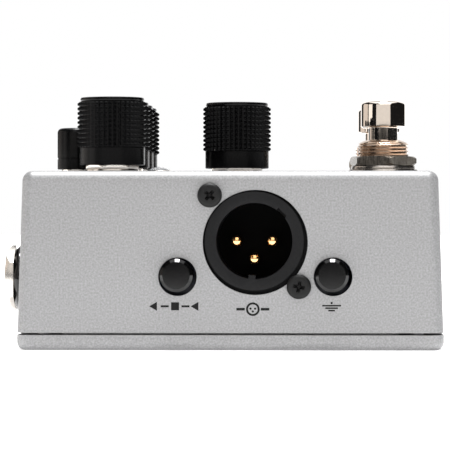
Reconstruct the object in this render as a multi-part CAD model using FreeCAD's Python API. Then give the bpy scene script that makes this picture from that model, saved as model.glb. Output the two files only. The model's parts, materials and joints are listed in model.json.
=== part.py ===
import FreeCAD, Part
import math
import os

from FreeCAD import Vector

# Direct injection box with foot switches, knobs, push buttons and a three-pin audio connector.
# Millimetres. The origin is the centre of the base plate's underside. X runs across the box,
# Y from the connector end (low Y) to the far end, and Z up.

# ---- Enclosure ---------------------------------------------------------------------------
LENGTH = 120.0
WIDTH = 90.8
HEIGHT = 38.2
WALL = 2.2
TOP_WALL = 2.3
DRAFT_DEG = 1.95
CORNER_R = 2.5
INNER_CORNER_R = 1.0
TOP_EDGE_R = 2.2
SEAM_BEVEL = 0.25
POST_R = 3.2
POST_INSET = 5.6
BASE_THICK = 3.5
BASE_OVERHANG = 0.1
BASE_EDGE_R = 1.8
LIP_HEIGHT = 1.6
LIP_THICK = 1.5
LIP_GAP = 0.25
BASE_SCREW_R = 1.45
BASE_SCREW_LENGTH = 12.0
BASE_SCREW_HEAD_R = 3.0
BASE_SCREW_SINK = 0.3
BASE_SCREW_CROSS = 1.2
BASE_SCREW_TURN = 20.0
POST_ROOM = 1.0
PILOT_EXTRA = 2.0

# ---- Clearances --------------------------------------------------------------------------
FIT_GAP = 0.05
THREAD_GAP = 0.1
HOLE_GAP = 0.15
RUN_GAP = 0.08
BODY_GAP = 0.3
OVERRUN = 1.0
CROSS_ARM = 0.46
CROSS_THICK = 0.16

# ---- Circuit boards ----------------------------------------------------------------------
BOARD_THICK = 1.6
BOARD_TOP = 7.2
BOARD_FRONT = 5.6
BOARD_SIDE_GAP = 2.2
BOARD_SHIFT_X = -0.2
BOARD_SHIFT_Z = 0.3
HEADER_X = 5.0
HEADER_Y = 12.0
HEADER_SHIFT = 5.0
HEADER_EDGE = 2.0
BOARD_TO_SNAP = 2.5
BOARD_TO_FOOT = 3.0
TONGUE_EXTRA = 3.7
TONGUE_GAP = 2.0
POT_BOARD_EDGE = 2.0
POT_BOARD_TONGUE_EDGE = 1.5
POT_BOARD_LED_EDGE = 4.0

# ---- Three-pin connector -----------------------------------------------------------------
XLR_X = 5.4
XLR_Z = 22.95
XLR_NOSE_R = 10.5
XLR_NOSE_GAP = 0.65
XLR_PROUD = 0.4
XLR_BORE_R = 8.1
XLR_FLANGE_X = 12.7
XLR_FLANGE_Z = 12.3
XLR_FLANGE_THICK = 3.0
XLR_BODY_R = 11.0
XLR_CAVITY = 14.5
XLR_INSERT = 6.5
XLR_PIN_R = 1.2
XLR_PIN_CIRCLE_R = 3.81
XLR_PIN_SETBACK = 1.3
XLR_TAIL_R = 0.5
XLR_TAIL_RUN = 1.5
XLR_KEY_WIDTH = 1.5
XLR_KEY_HEIGHT = 0.85
XLR_KEY_ROOT = 0.3
XLR_NOTCH_WIDTH = 2.4
XLR_NOTCH_DEPTH = 0.5
XLR_NOTCH_DEG = 45.6
XLR_KEY_DEG = 3.6
XLR_SCREW_X = 9.46
XLR_SCREW_Z = 9.7
XLR_SCREW_R = 1.3
XLR_SCREW_HEAD_R = 2.6
XLR_SCREW_HEAD = 1.5
XLR_SCREW_LENGTH = 7.5
XLR_SCREW_CROSS = 1.0
XLR_SCREW_ROUND = 0.6
XLR_SCREW_TURNS = (40.0, 12.0)

# ---- Push buttons ------------------------------------------------------------------------
PUSH_X = {"left": -11.1, "right": 21.9}
PUSH_Z = 15.66
PUSH_CAP_R = 3.5
PUSH_HOLE_GAP = 0.6
PUSH_CAP_BEVEL = 0.6
PUSH_PROUD = 2.2
PUSH_TRAVEL = 1.8
PUSH_CAP_DEPTH = 6.6
PUSH_STEM = 3.0
PUSH_SWITCH_X = 7.5
PUSH_SWITCH_Y = 14.0
PUSH_SWITCH_ABOVE = 4.2
PUSH_STOP_GAP = 0.4
PUSH_STEM_SEAT = 3.0
PUSH_SWITCH_BACK = 2.0

# ---- Control knobs -----------------------------------------------------------------------
LEFT_COLUMN = 19.3
CENTRE_KNOB_X = 0.6
KNOB_ROWS = {"front_left": 17.0, "second_left": 34.0, "third_left": 51.0, "rear_left": 68.0}
CENTRE_KNOB_ROW = 37.0
KNOB_LIFT = 1.07
FRONT_KNOB_EXTRA_LIFT = 0.38
KNOB_HEIGHT = 14.75
KNOB_R = 7.6
KNOB_SKIRT_R = 7.125
KNOB_SKIRT = 3.85
KNOB_RINGS = 10
KNOB_GROOVE = 0.35
KNOB_CAP_R = 6.95
KNOB_CAP_EDGE = 0.3
KNOB_CAP = 1.0
KNOB_ROOF = 3.0
KNOB_RECESS_R = 6.2
KNOB_RECESS = 2.4
POINTER_WIDTH = 1.0
POINTER_LENGTH = 5.0
POINTER_DEPTH = 0.4
POINTER_START = 0.8
POINTER_GAP = 0.02
SHAFT_END_GAP = 0.2
POT_X = 9.6
POT_Y = 11.0
POT_HEIGHT = 6.8
POT_BUSHING_R = 3.5
POT_BUSHING_ABOVE = 2.8
POT_SHAFT_R = 3.0
POT_ROTOR_R = 4.0
POT_ROTOR = 1.2
POT_ROTOR_LIFT = 2.4
POT_NUT_AF = 10.0
POT_NUT = 1.9
POT_WASHER_R = 5.9
POT_WASHER = 0.5
POT_NUT_TURN = 10.0

# ---- Small knob --------------------------------------------------------------------------
MINI_COLUMN = 10.8
MINI_ROW = 25.5
MINI_LIFT = 0.7
MINI_R = 4.2
MINI_HEIGHT = 9.1
MINI_SKIRT = 2.3
MINI_SEAM = 0.3
MINI_RECESS_R = 3.5
MINI_RECESS = 2.3
MINI_POT = 6.8
MINI_BUSHING_R = 2.2
MINI_SHAFT_R = 1.6
MINI_ROTOR_R = 3.0
MINI_NUT_AF = 5.6
MINI_NUT = 1.5
MINI_BUSHING_ABOVE = 1.9
MINI_ROOF = 2.0
MINI_ROUND = 0.8
MINI_TAPER = 0.1

# ---- Foot switches -----------------------------------------------------------------------
FOOT_COLUMN = 11.5
FOOT_FRONT = 58.0
FOOT_REAR_INSET = 19.0
FOOT_BODY_X = 15.4
FOOT_BODY_Y = 17.0
FOOT_BODY_HEIGHT = 17.0
FOOT_CAVITY_R = 5.0
FOOT_FLANGE_R = 7.4
FOOT_FLANGE = 1.2
FOOT_BUSHING_R = 5.925
FOOT_BUSHING_ABOVE = 8.05
FOOT_THREAD_PITCH = 0.75
FOOT_THREAD_DEPTH = 0.35
FOOT_STEM_R = 3.35
FOOT_COLLAR_R = 4.4
FOOT_COLLAR = 1.5
FOOT_TRAVEL = 2.5
FOOT_CAP_R = 5.12
FOOT_CAP = 6.45
FOOT_CAP_LIFT = 10.85
FOOT_CAP_ROUND = 1.2
FOOT_DRESS_R = 8.0
FOOT_DRESS = 1.2
FOOT_LOCK_R = 7.4
FOOT_LOCK = 0.9
FOOT_NUT_AF = 14.0
FOOT_NUT = 2.13
FOOT_SPRING_R = 3.9
FOOT_SPRING_WIRE_R = 0.35
FOOT_SPRING_TURNS = 4
FOOT_SPRING_END_GAP = 0.05
FOOT_SPRING_ROOM = 3.5
FOOT_THREAD_STEP = 0.05
FOOT_THREAD_END = 1.0
FOOT_COLLAR_TOP = 0.6
FOOT_CAP_BEVEL = 0.3
FOOT_NUT_TURNS = (40.7, 24.5)
LUG_X = 2.0
LUG_Y = 0.8
LUG_LENGTH = 4.0
LUG_PITCH = 4.4

# ---- Quarter-inch jacks ------------------------------------------------------------------
JACK_FRONT = 16.0
JACK_REAR_INSET = 34.0
JACK_Z = 14.9
JACK_BORE_R = 3.2
JACK_BARREL_R = 3.65
JACK_BUSHING_R = 4.5
JACK_BUSHING_END = 3.7
JACK_BUSHING_SEAT = 3.0
JACK_BODY_X = 27.0
JACK_BODY_Y = 13.6
JACK_WASHER_R = 7.25
JACK_WASHER = 1.74
JACK_WASHER_BEVEL = 0.9
JACK_NUT_AF = 12.7
JACK_NUT = 1.8
CONTACT_WIDTH = 2.4
CONTACT_THICK = 0.5
CONTACT_SLOT = 2.6
CONTACT_DIP = 2.6
CONTACT_LIFT = 1.4
JACK_BACK_WALL = 2.0
JACK_SLOT_LENGTH = 12.0
JACK_SLOT_ABOVE = 1.6

# ---- Indicator light ---------------------------------------------------------------------
LED_COLUMN = 28.33
LED_ROW = 42.5
LED_R = 2.5
LED_DOME = 1.6
LED_DOME_R = 4.78
BEZEL_BUSH_R = 3.2
BEZEL_R = 3.6
LED_LEG_R = 0.3
LED_LEG_PITCH = 2.54
LED_DEPTH = 2.0
BEZEL_DEPTH = 1.5

# ---- Power socket ------------------------------------------------------------------------
DC_X = -24.0
DC_Z = 18.0
DC_NOSE_R = 4.0
DC_BORE_R = 2.8
DC_BORE_DEPTH = 9.5
DC_PIN_R = 1.05
DC_PIN_SETBACK = 0.8
DC_BODY = 11.0
DC_BODY_DEPTH = 11.0

# ---- Battery -----------------------------------------------------------------------------
BATTERY_X = 5.25
BATTERY_WIDTH = 26.5
BATTERY_LENGTH = 48.5
BATTERY_HEIGHT = 17.5
BATTERY_REAR_GAP = 7.3
BATTERY_CORNER_R = 2.0
FOAM = 1.5
TERMINAL_R = {"small": 2.9, "large": 3.8}
TERMINAL_X = 6.35
TERMINAL = 2.6
SNAP_THICK = 4.5
SNAP_HEIGHT = 12.0
SNAP_INSET = 1.0
SNAP_GAP = 0.2
FOAM_INSET = 1.0

# ---- Leads and board parts ---------------------------------------------------------------
LEAD_R = 0.65
LEAD_BEND = 2.0
LEAD_PITCH = 2.6
CAPACITOR_R = 3.0
CAPACITOR_HEIGHT = 9.0
CHIP_X = 6.4
CHIP_Y = 9.8
CHIP_HEIGHT = 3.6
CAPACITORS = 4
CAPACITOR_START = -14.0
CAPACITOR_PITCH = 9.0
CAPACITOR_ROW = 8.0
CHIPS = 3
CHIP_START = -10.0
CHIP_PITCH = 11.0
CHIP_GAP = 2.0
LEAD_RISE = {"front": 3.0, "rear": 7.0}
LEAD_COLUMN = {"front": 0, "rear": -1}

# ---- Places worked out from the values above ---------------------------------------------
FRONT = -LENGTH / 2.0
REAR = LENGTH / 2.0
CEILING = HEIGHT - TOP_WALL
BOARD_BOTTOM = BOARD_TOP - BOARD_THICK
KNOB_X = -WIDTH / 2.0 + LEFT_COLUMN
MINI_X = -WIDTH / 2.0 + MINI_COLUMN
LED_X = -WIDTH / 2.0 + LED_COLUMN
FOOT_X = WIDTH / 2.0 - FOOT_COLUMN
FOOT_Y = {"front": FRONT + FOOT_FRONT, "rear": REAR - FOOT_REAR_INSET}
JACK_Y = {"front": FRONT + JACK_FRONT, "rear": REAR - JACK_REAR_INSET}
POT_BOTTOM = CEILING - POT_HEIGHT
BATTERY_BACK = REAR - WALL - BATTERY_REAR_GAP
BATTERY_FRONT = BATTERY_BACK - BATTERY_LENGTH
BATTERY_BOTTOM = BASE_THICK + FOAM
SNAP_FRONT = BATTERY_FRONT - SNAP_THICK
MAIN_BOARD_BACK = min(SNAP_FRONT - BOARD_TO_SNAP, FOOT_Y["front"] - BOARD_TO_FOOT)
XLR_FRONT = FRONT - XLR_PROUD
FLANGE_BACK = FRONT + WALL + XLR_FLANGE_THICK
INSERT_FRONT = XLR_FRONT + XLR_CAVITY
INSERT_BACK = INSERT_FRONT + XLR_INSERT
XLR_CX = XLR_X + BOARD_SHIFT_X
XLR_CZ = XLR_Z + BOARD_SHIFT_Z
PUSH_CZ = PUSH_Z + BOARD_SHIFT_Z
POT_PLACES = {name: (KNOB_X, FRONT + row) for name, row in KNOB_ROWS.items()}
POT_PLACES["centre"] = (CENTRE_KNOB_X, FRONT + CENTRE_KNOB_ROW)
KNOB_FOOT = {name: HEIGHT + KNOB_LIFT for name in POT_PLACES}
KNOB_FOOT["front_left"] += FRONT_KNOB_EXTRA_LIFT
MINI_Y = FRONT + MINI_ROW
LED_Y = FRONT + LED_ROW
SCREW_PLACES = [
    (sx * (WIDTH / 2.0 - POST_INSET), sy * (LENGTH / 2.0 - POST_INSET))
    for sx in (-1, 1)
    for sy in (-1, 1)
]
X_AXIS = Vector(1, 0, 0)
Y_AXIS = Vector(0, 1, 0)
Z_AXIS = Vector(0, 0, 1)


def outer_half(z):
    """Half the shell's outer width at a height."""
    return WIDTH / 2.0 - (z - BASE_THICK) * math.tan(math.radians(DRAFT_DEG))


def inner_half(z):
    """Half the room between the shell's side walls at a height."""
    return outer_half(z) - WALL


def save(name, shape):
    shape.exportStep("parts/" + name + ".step")


def group(solids):
    return Part.makeCompound(solids)


def block(x0, x1, y0, y1, z0, z1):
    return Part.makeBox(x1 - x0, y1 - y0, z1 - z0, Vector(x0, y0, z0))


def centred_block(x, y, z0, size_x, size_y, height):
    return block(x - size_x / 2.0, x + size_x / 2.0, y - size_y / 2.0, y + size_y / 2.0, z0, z0 + height)


def rod(radius, start, end):
    """A cylinder from one point to another."""
    along = end.sub(start)
    return Part.makeCylinder(radius, along.Length, start, along)


def upright(radius, x, y, z0, z1):
    return rod(radius, Vector(x, y, z0), Vector(x, y, z1))


def turned(points, x, y):
    """A solid of revolution about the upright line through x, y, from its (radius, height) outline."""
    wire = Part.makePolygon([Vector(x + r, y, z) for r, z in points + points[:1]])
    return Part.Face(wire).revolve(Vector(x, y, 0), Z_AXIS, 360)


def hexagon(across_flats, height, base, direction, turn_deg=0.0):
    """A hexagonal prism that stands on base and grows along direction."""
    corner_r = across_flats / math.sqrt(3.0)
    corners = []
    for i in range(7):
        angle = math.radians(turn_deg + 60.0 * i)
        corners.append(Vector(corner_r * math.cos(angle), corner_r * math.sin(angle), 0))
    prism = Part.Face(Part.makePolygon(corners)).extrude(Vector(0, 0, height))
    dome = Part.makeCone(corner_r + 0.45 * height, corner_r - 0.55 * height, height)
    prism = prism.common(dome)
    prism.Placement = FreeCAD.Placement(base, FreeCAD.Rotation(Z_AXIS, direction))
    return prism


def slotted_cross(radius, depth, base, direction, turn_deg):
    """The cutter for a cross recess, sunk from base against direction."""
    arm = radius * CROSS_ARM
    thick = radius * CROSS_THICK
    bars = Part.makeBox(2 * arm, 2 * thick, depth + OVERRUN, Vector(-arm, -thick, -depth))
    cross = bars.fuse(bars.rotated(Vector(0, 0, 0), Z_AXIS, 90))
    cross.rotate(Vector(0, 0, 0), Z_AXIS, turn_deg)
    cross.Placement = FreeCAD.Placement(base, FreeCAD.Rotation(Z_AXIS, direction)).multiply(cross.Placement)
    return cross


def lead(points, bend):
    """A round lead along straight runs joined by tangent arcs."""
    edges = []
    start = points[0]
    for before, corner, after in zip(points, points[1:], points[2:]):
        back = before.sub(corner).normalize()
        ahead = after.sub(corner).normalize()
        half = back.getAngle(ahead) / 2.0
        reach = bend / math.tan(half)
        into = corner.add(back * reach)
        out = corner.add(ahead * reach)
        middle_way = back.add(ahead).normalize()
        middle = corner.add(middle_way * (bend / math.sin(half) - bend))
        edges.append(Part.LineSegment(start, into).toShape())
        edges.append(Part.Arc(into, middle, out).toShape())
        start = out
    edges.append(Part.LineSegment(start, points[-1]).toShape())
    path = Part.Wire(edges)
    ring = Part.Wire(Part.makeCircle(LEAD_R, points[0], points[1].sub(points[0])))
    return path.makePipeShell([ring], True, False)


def drafted_block(z0, z1, inset, end_inset):
    """The shell's drafted outline between two heights, moved in by an inset."""
    low = outer_half(z0) - inset
    high = outer_half(z1) - inset
    corners = [(-low, z0), (low, z0), (high, z1), (-high, z1), (-low, z0)]
    y0 = FRONT + end_inset
    outline = Part.makePolygon([Vector(x, y0, z) for x, z in corners])
    return Part.Face(outline).extrude(Vector(0, LENGTH - 2 * end_inset, 0))


def upright_edges(shape):
    found = []
    for edge in shape.Edges:
        rise = edge.BoundBox.ZLength
        if rise > edge.BoundBox.YLength and rise > edge.BoundBox.XLength and rise > 1.0:
            found.append(edge)
    return found


def level_edges(shape, z):
    return [e for e in shape.Edges if abs(e.BoundBox.ZMin - z) < 1e-6 and abs(e.BoundBox.ZMax - z) < 1e-6]


def enclosure_shell():
    outer = drafted_block(BASE_THICK, HEIGHT, 0.0, 0.0)
    outer = outer.makeFillet(CORNER_R, upright_edges(outer))
    outer = outer.makeFillet(TOP_EDGE_R, level_edges(outer, HEIGHT))
    outer = outer.makeChamfer(SEAM_BEVEL, level_edges(outer, BASE_THICK))
    room = drafted_block(BASE_THICK - OVERRUN, CEILING, WALL, WALL)
    room = room.makeFillet(INNER_CORNER_R, upright_edges(room))
    posts = []
    for x, y in SCREW_PLACES:
        posts.append(upright(POST_R, x, y, BASE_THICK, CEILING))
    shell = outer.cut(room.cut(posts))
    return shell.cut(shell_holes())


def shell_holes():
    holes = []
    outside = FRONT - OVERRUN
    inside = FRONT + WALL + OVERRUN
    low = CEILING - OVERRUN
    high = HEIGHT + OVERRUN
    pilot_end = BASE_THICK + BASE_SCREW_LENGTH + PILOT_EXTRA
    for x, y in SCREW_PLACES:
        holes.append(upright(BASE_SCREW_R + THREAD_GAP, x, y, BASE_THICK - OVERRUN, pilot_end))
    hole_r = XLR_NOSE_R + XLR_NOSE_GAP
    holes.append(rod(hole_r, Vector(XLR_X, outside, XLR_Z), Vector(XLR_X, inside, XLR_Z)))
    for x, z in xlr_screw_places():
        holes.append(rod(XLR_SCREW_R + HOLE_GAP, Vector(x, outside, z), Vector(x, inside, z)))
    for x in PUSH_X.values():
        hole_r = PUSH_CAP_R + PUSH_HOLE_GAP
        holes.append(rod(hole_r, Vector(x, outside, PUSH_Z), Vector(x, inside, PUSH_Z)))
    for x, y in POT_PLACES.values():
        holes.append(upright(POT_BUSHING_R + HOLE_GAP, x, y, low, high))
    holes.append(upright(MINI_BUSHING_R + HOLE_GAP, MINI_X, MINI_Y, low, high))
    holes.append(upright(BEZEL_BUSH_R + HOLE_GAP, LED_X, LED_Y, low, high))
    for y in FOOT_Y.values():
        holes.append(upright(FOOT_BUSHING_R + HOLE_GAP, FOOT_X, y, low, high))
    for y in JACK_Y.values():
        wall_out = Vector(-WIDTH / 2.0 - OVERRUN, y, JACK_Z)
        wall_in = Vector(-inner_half(HEIGHT) + OVERRUN, y, JACK_Z)
        holes.append(rod(JACK_BUSHING_R + HOLE_GAP, wall_out, wall_in))
    wall_in = Vector(DC_X, REAR - WALL - OVERRUN, DC_Z)
    wall_out = Vector(DC_X, REAR + OVERRUN, DC_Z)
    holes.append(rod(DC_NOSE_R + HOLE_GAP, wall_in, wall_out))
    return holes


def base_plate():
    half_x = WIDTH / 2.0 + BASE_OVERHANG
    half_y = LENGTH / 2.0 + BASE_OVERHANG
    plate = block(-half_x, half_x, -half_y, half_y, 0.0, BASE_THICK)
    plate = plate.makeFillet(CORNER_R + BASE_OVERHANG, upright_edges(plate))
    plate = plate.makeFillet(BASE_EDGE_R, level_edges(plate, 0.0))
    plate = plate.makeChamfer(SEAM_BEVEL, level_edges(plate, BASE_THICK))
    post_room = POST_INSET + POST_R + POST_ROOM
    lip_x = inner_half(BASE_THICK + LIP_HEIGHT) - LIP_GAP
    lip_y = LENGTH / 2.0 - WALL - LIP_GAP
    bar_x = WIDTH / 2.0 - post_room
    bar_y = LENGTH / 2.0 - post_room
    top = BASE_THICK + LIP_HEIGHT
    bars = []
    for side in (-1, 1):
        near, far = sorted((side * (lip_x - LIP_THICK), side * lip_x))
        bars.append(block(near, far, -bar_y, bar_y, BASE_THICK - OVERRUN, top))
        near, far = sorted((side * (lip_y - LIP_THICK), side * lip_y))
        bars.append(block(-bar_x, bar_x, near, far, BASE_THICK - OVERRUN, top))
    plate = plate.fuse(bars)
    for x, y in SCREW_PLACES:
        plate = plate.cut(upright(BASE_SCREW_R + HOLE_GAP, x, y, -OVERRUN, BASE_THICK + OVERRUN))
        plate = plate.cut(base_screw_head(x, y, HOLE_GAP))
    return plate


def base_screw_head(x, y, gap):
    """The countersunk head, or with a gap the seat that is cut for it."""
    low = 0.0 if gap else BASE_SCREW_SINK
    head_r = BASE_SCREW_HEAD_R + gap
    neck_r = BASE_SCREW_R + gap
    cone_top = BASE_SCREW_SINK + BASE_SCREW_HEAD_R - BASE_SCREW_R
    outline = [(0, low), (head_r, low), (head_r, BASE_SCREW_SINK), (neck_r, cone_top), (0, cone_top)]
    if not gap:
        outline.pop(1)
    return turned(outline, x, y)


def base_screws():
    screws = []
    for x, y in SCREW_PLACES:
        shank = upright(BASE_SCREW_R, x, y, BASE_SCREW_SINK, BASE_THICK + BASE_SCREW_LENGTH)
        screw = shank.fuse(base_screw_head(x, y, 0.0))
        base = Vector(x, y, BASE_SCREW_SINK)
        cross = slotted_cross(BASE_SCREW_HEAD_R, BASE_SCREW_CROSS, base, Vector(0, 0, -1), BASE_SCREW_TURN)
        screws.append(screw.cut(cross))
    return group(screws)


def xlr_screw_places():
    return [(XLR_CX - XLR_SCREW_X, XLR_CZ + XLR_SCREW_Z), (XLR_CX + XLR_SCREW_X, XLR_CZ - XLR_SCREW_Z)]


def xlr_housing():
    def on_axis(y):
        return Vector(XLR_CX, y, XLR_CZ)

    nose = rod(XLR_NOSE_R, on_axis(XLR_FRONT), on_axis(FLANGE_BACK))
    flange_low = XLR_CZ - XLR_FLANGE_Z
    flange = block(
        XLR_CX - XLR_FLANGE_X, XLR_CX + XLR_FLANGE_X, FRONT + WALL, FLANGE_BACK,
        flange_low, XLR_CZ + XLR_FLANGE_Z,
    )
    barrel = rod(XLR_BODY_R, on_axis(FRONT + WALL), on_axis(INSERT_BACK))
    foot = block(
        XLR_CX - XLR_BODY_R, XLR_CX + XLR_BODY_R, FRONT + BOARD_FRONT, INSERT_BACK,
        BOARD_TOP, XLR_CZ,
    )
    housing = nose.fuse([flange, barrel, foot])
    housing = housing.cut(rod(XLR_BORE_R, on_axis(XLR_FRONT - OVERRUN), on_axis(INSERT_BACK + OVERRUN)))
    key_low = XLR_CZ - XLR_BORE_R - XLR_KEY_ROOT
    key = block(
        XLR_CX - XLR_KEY_WIDTH / 2.0, XLR_CX + XLR_KEY_WIDTH / 2.0, XLR_FRONT, INSERT_FRONT,
        key_low, XLR_CZ - XLR_BORE_R + XLR_KEY_HEIGHT,
    )
    key.rotate(Vector(XLR_CX, 0, XLR_CZ), Y_AXIS, XLR_KEY_DEG)
    housing = housing.fuse(key)
    notch = block(
        XLR_BORE_R - OVERRUN, XLR_BORE_R + XLR_NOTCH_DEPTH, XLR_FRONT - OVERRUN, INSERT_FRONT,
        -XLR_NOTCH_WIDTH / 2.0, XLR_NOTCH_WIDTH / 2.0,
    )
    notch.rotate(Vector(0, 0, 0), Y_AXIS, -XLR_NOTCH_DEG)
    notch.translate(Vector(XLR_CX, 0, XLR_CZ))
    housing = housing.cut(notch)
    for x, z in xlr_screw_places():
        end = FRONT + XLR_SCREW_LENGTH + OVERRUN
        housing = housing.cut(rod(XLR_SCREW_R + FIT_GAP, Vector(x, FRONT, z), Vector(x, end, z)))
    return housing


def xlr_pin_places():
    places = []
    for x, z in ((-XLR_PIN_CIRCLE_R, 0.0), (0.0, -XLR_PIN_CIRCLE_R), (XLR_PIN_CIRCLE_R, 0.0)):
        places.append((XLR_CX + x, XLR_CZ + z))
    return places


def xlr_insert():
    insert = rod(
        XLR_BORE_R - FIT_GAP, Vector(XLR_CX, INSERT_FRONT, XLR_CZ), Vector(XLR_CX, INSERT_BACK, XLR_CZ)
    )
    for x, z in xlr_pin_places():
        near = Vector(x, INSERT_FRONT - OVERRUN, z)
        far = Vector(x, INSERT_BACK + OVERRUN, z)
        insert = insert.cut(rod(XLR_PIN_R + FIT_GAP, near, far))
    return insert


def xlr_pins():
    pins = []
    for x, z in xlr_pin_places():
        tip = XLR_FRONT + XLR_PIN_SETBACK
        pin = rod(XLR_PIN_R, Vector(x, tip + XLR_PIN_R, z), Vector(x, INSERT_BACK, z))
        dome = Part.makeSphere(XLR_PIN_R, Vector(x, tip + XLR_PIN_R, z))
        bend = Vector(x, INSERT_BACK + XLR_TAIL_RUN, z)
        tail = rod(XLR_TAIL_R, Vector(x, INSERT_BACK - OVERRUN, z), bend)
        elbow = Part.makeSphere(XLR_TAIL_R, bend)
        drop = rod(XLR_TAIL_R, Vector(x, bend.y, BOARD_TOP), bend)
        pins.append(pin.fuse([dome, tail, elbow, drop]))
    return group(pins)


def xlr_screws():
    screws = []
    for (x, z), turn in zip(xlr_screw_places(), XLR_SCREW_TURNS):
        shank = rod(XLR_SCREW_R, Vector(x, FRONT, z), Vector(x, FRONT + XLR_SCREW_LENGTH, z))
        head = rod(XLR_SCREW_HEAD_R, Vector(x, FRONT - XLR_SCREW_HEAD, z), Vector(x, FRONT, z))
        rim = [e for e in head.Edges if e.BoundBox.YMax < FRONT - XLR_SCREW_HEAD + 1e-6]
        head = head.makeFillet(XLR_SCREW_ROUND, rim)
        base = Vector(x, FRONT - XLR_SCREW_HEAD, z)
        recess = slotted_cross(XLR_SCREW_HEAD_R, XLR_SCREW_CROSS, base, Vector(0, -1, 0), turn)
        screws.append(head.fuse(shank).cut(recess))
    return group(screws)


def push_switches():
    switches = []
    for x in PUSH_X.values():
        cx = x + BOARD_SHIFT_X
        y0 = FRONT - PUSH_PROUD + PUSH_CAP_DEPTH + PUSH_TRAVEL + PUSH_STOP_GAP
        top = PUSH_CZ + PUSH_SWITCH_ABOVE
        half = PUSH_SWITCH_X / 2.0
        body = block(cx - half, cx + half, y0, y0 + PUSH_SWITCH_Y, BOARD_TOP, top)
        room = PUSH_STEM / 2.0 + RUN_GAP
        deep = y0 + PUSH_SWITCH_Y - PUSH_SWITCH_BACK
        stem_way = block(cx - room, cx + room, y0 - OVERRUN, deep, PUSH_CZ - room, PUSH_CZ + room)
        switches.append(body.cut(stem_way))
    return group(switches)


def push_plunger(x):
    cx = x + BOARD_SHIFT_X
    half = PUSH_STEM / 2.0
    cap_back = FRONT - PUSH_PROUD + PUSH_CAP_DEPTH
    near = cap_back - PUSH_STEM_SEAT
    far = cap_back + PUSH_SWITCH_Y - PUSH_SWITCH_BACK
    return block(cx - half, cx + half, near, far, PUSH_CZ - half, PUSH_CZ + half)


def push_cap(x):
    cx = x + BOARD_SHIFT_X
    face = FRONT - PUSH_PROUD
    cap = rod(PUSH_CAP_R, Vector(cx, face, PUSH_CZ), Vector(cx, face + PUSH_CAP_DEPTH, PUSH_CZ))
    rim = [e for e in cap.Edges if e.BoundBox.YMax < face + 1e-6]
    cap = cap.makeChamfer(PUSH_CAP_BEVEL, rim)
    room = PUSH_STEM / 2.0 + FIT_GAP
    back = face + PUSH_CAP_DEPTH
    near = back - PUSH_STEM_SEAT
    return cap.cut(block(cx - room, cx + room, near, back + OVERRUN, PUSH_CZ - room, PUSH_CZ + room))


def knob(name):
    x, y = POT_PLACES[name]
    low = KNOB_FOOT[name]
    top = low + KNOB_HEIGHT
    skirt_top = low + KNOB_SKIRT
    pitch = (KNOB_HEIGHT - KNOB_SKIRT - KNOB_CAP) / KNOB_RINGS
    outline = [(KNOB_RECESS_R, low), (KNOB_SKIRT_R, low), (KNOB_SKIRT_R, skirt_top)]
    for i in range(KNOB_RINGS):
        z = skirt_top + i * pitch
        outline.append((KNOB_R - KNOB_GROOVE, z + 0.01))
        outline.append((KNOB_R, z + 0.3 * pitch))
        outline.append((KNOB_R, z + 0.7 * pitch))
    shaft_room = POT_SHAFT_R + FIT_GAP
    shaft_end = top - KNOB_ROOF
    outline += [
        (KNOB_R - KNOB_GROOVE, top - KNOB_CAP),
        (KNOB_CAP_R - KNOB_CAP_EDGE, top - KNOB_CAP),
        (KNOB_CAP_R, top - KNOB_CAP + KNOB_CAP_EDGE),
        (KNOB_CAP_R, top - KNOB_CAP_EDGE),
        (KNOB_CAP_R - KNOB_CAP_EDGE, top),
        (0.0, top),
        (0.0, shaft_end),
        (shaft_room, shaft_end),
        (shaft_room, low + KNOB_RECESS),
        (KNOB_RECESS_R, low + KNOB_RECESS),
    ]
    return turned(outline, x, y).cut(pointer_block(name, OVERRUN, 0.0))


def pointer_block(name, above, gap):
    """The pointer inlay, or with room above it the slot that is cut for it."""
    x, y = POT_PLACES[name]
    top = KNOB_FOOT[name] + KNOB_HEIGHT
    half = POINTER_WIDTH / 2.0 - gap
    near = y + POINTER_START + gap
    far = y + POINTER_START + POINTER_LENGTH - gap
    return block(x - half, x + half, near, far, top - POINTER_DEPTH, top + above)


def pot_shaft(name):
    x, y = POT_PLACES[name]
    end = KNOB_FOOT[name] + KNOB_HEIGHT - KNOB_ROOF - SHAFT_END_GAP
    rotor_low = POT_BOTTOM + POT_ROTOR_LIFT
    shaft = upright(POT_SHAFT_R, x, y, rotor_low, end)
    return shaft.fuse(upright(POT_ROTOR_R, x, y, rotor_low, rotor_low + POT_ROTOR))


def pot_case(x, y, size_x, size_y, bushing_r, shaft_r, rotor_r, bushing_top):
    case = centred_block(x, y, POT_BOTTOM, size_x, size_y, POT_HEIGHT)
    case = case.fuse(upright(bushing_r, x, y, POT_BOTTOM + OVERRUN, bushing_top))
    rotor_low = POT_BOTTOM + POT_ROTOR_LIFT - BODY_GAP
    rotor_high = POT_BOTTOM + POT_ROTOR_LIFT + POT_ROTOR + BODY_GAP
    case = case.cut(upright(rotor_r + BODY_GAP, x, y, rotor_low, rotor_high))
    return case.cut(upright(shaft_r + RUN_GAP, x, y, rotor_low, bushing_top + OVERRUN))


def pot_cases():
    top = HEIGHT + POT_BUSHING_ABOVE
    cases = []
    for x, y in POT_PLACES.values():
        cases.append(pot_case(x, y, POT_X, POT_Y, POT_BUSHING_R, POT_SHAFT_R, POT_ROTOR_R, top))
    return group(cases)


def washer(x, y, z0, thick, outer_r, inner_r):
    hole = upright(inner_r, x, y, z0 - OVERRUN, z0 + thick + OVERRUN)
    return upright(outer_r, x, y, z0, z0 + thick).cut(hole)


def nut(x, y, z0, thick, across_flats, inner_r, turn_deg):
    prism = hexagon(across_flats, thick, Vector(x, y, z0), Z_AXIS, turn_deg)
    return prism.cut(upright(inner_r, x, y, z0 - OVERRUN, z0 + thick + OVERRUN))


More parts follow.
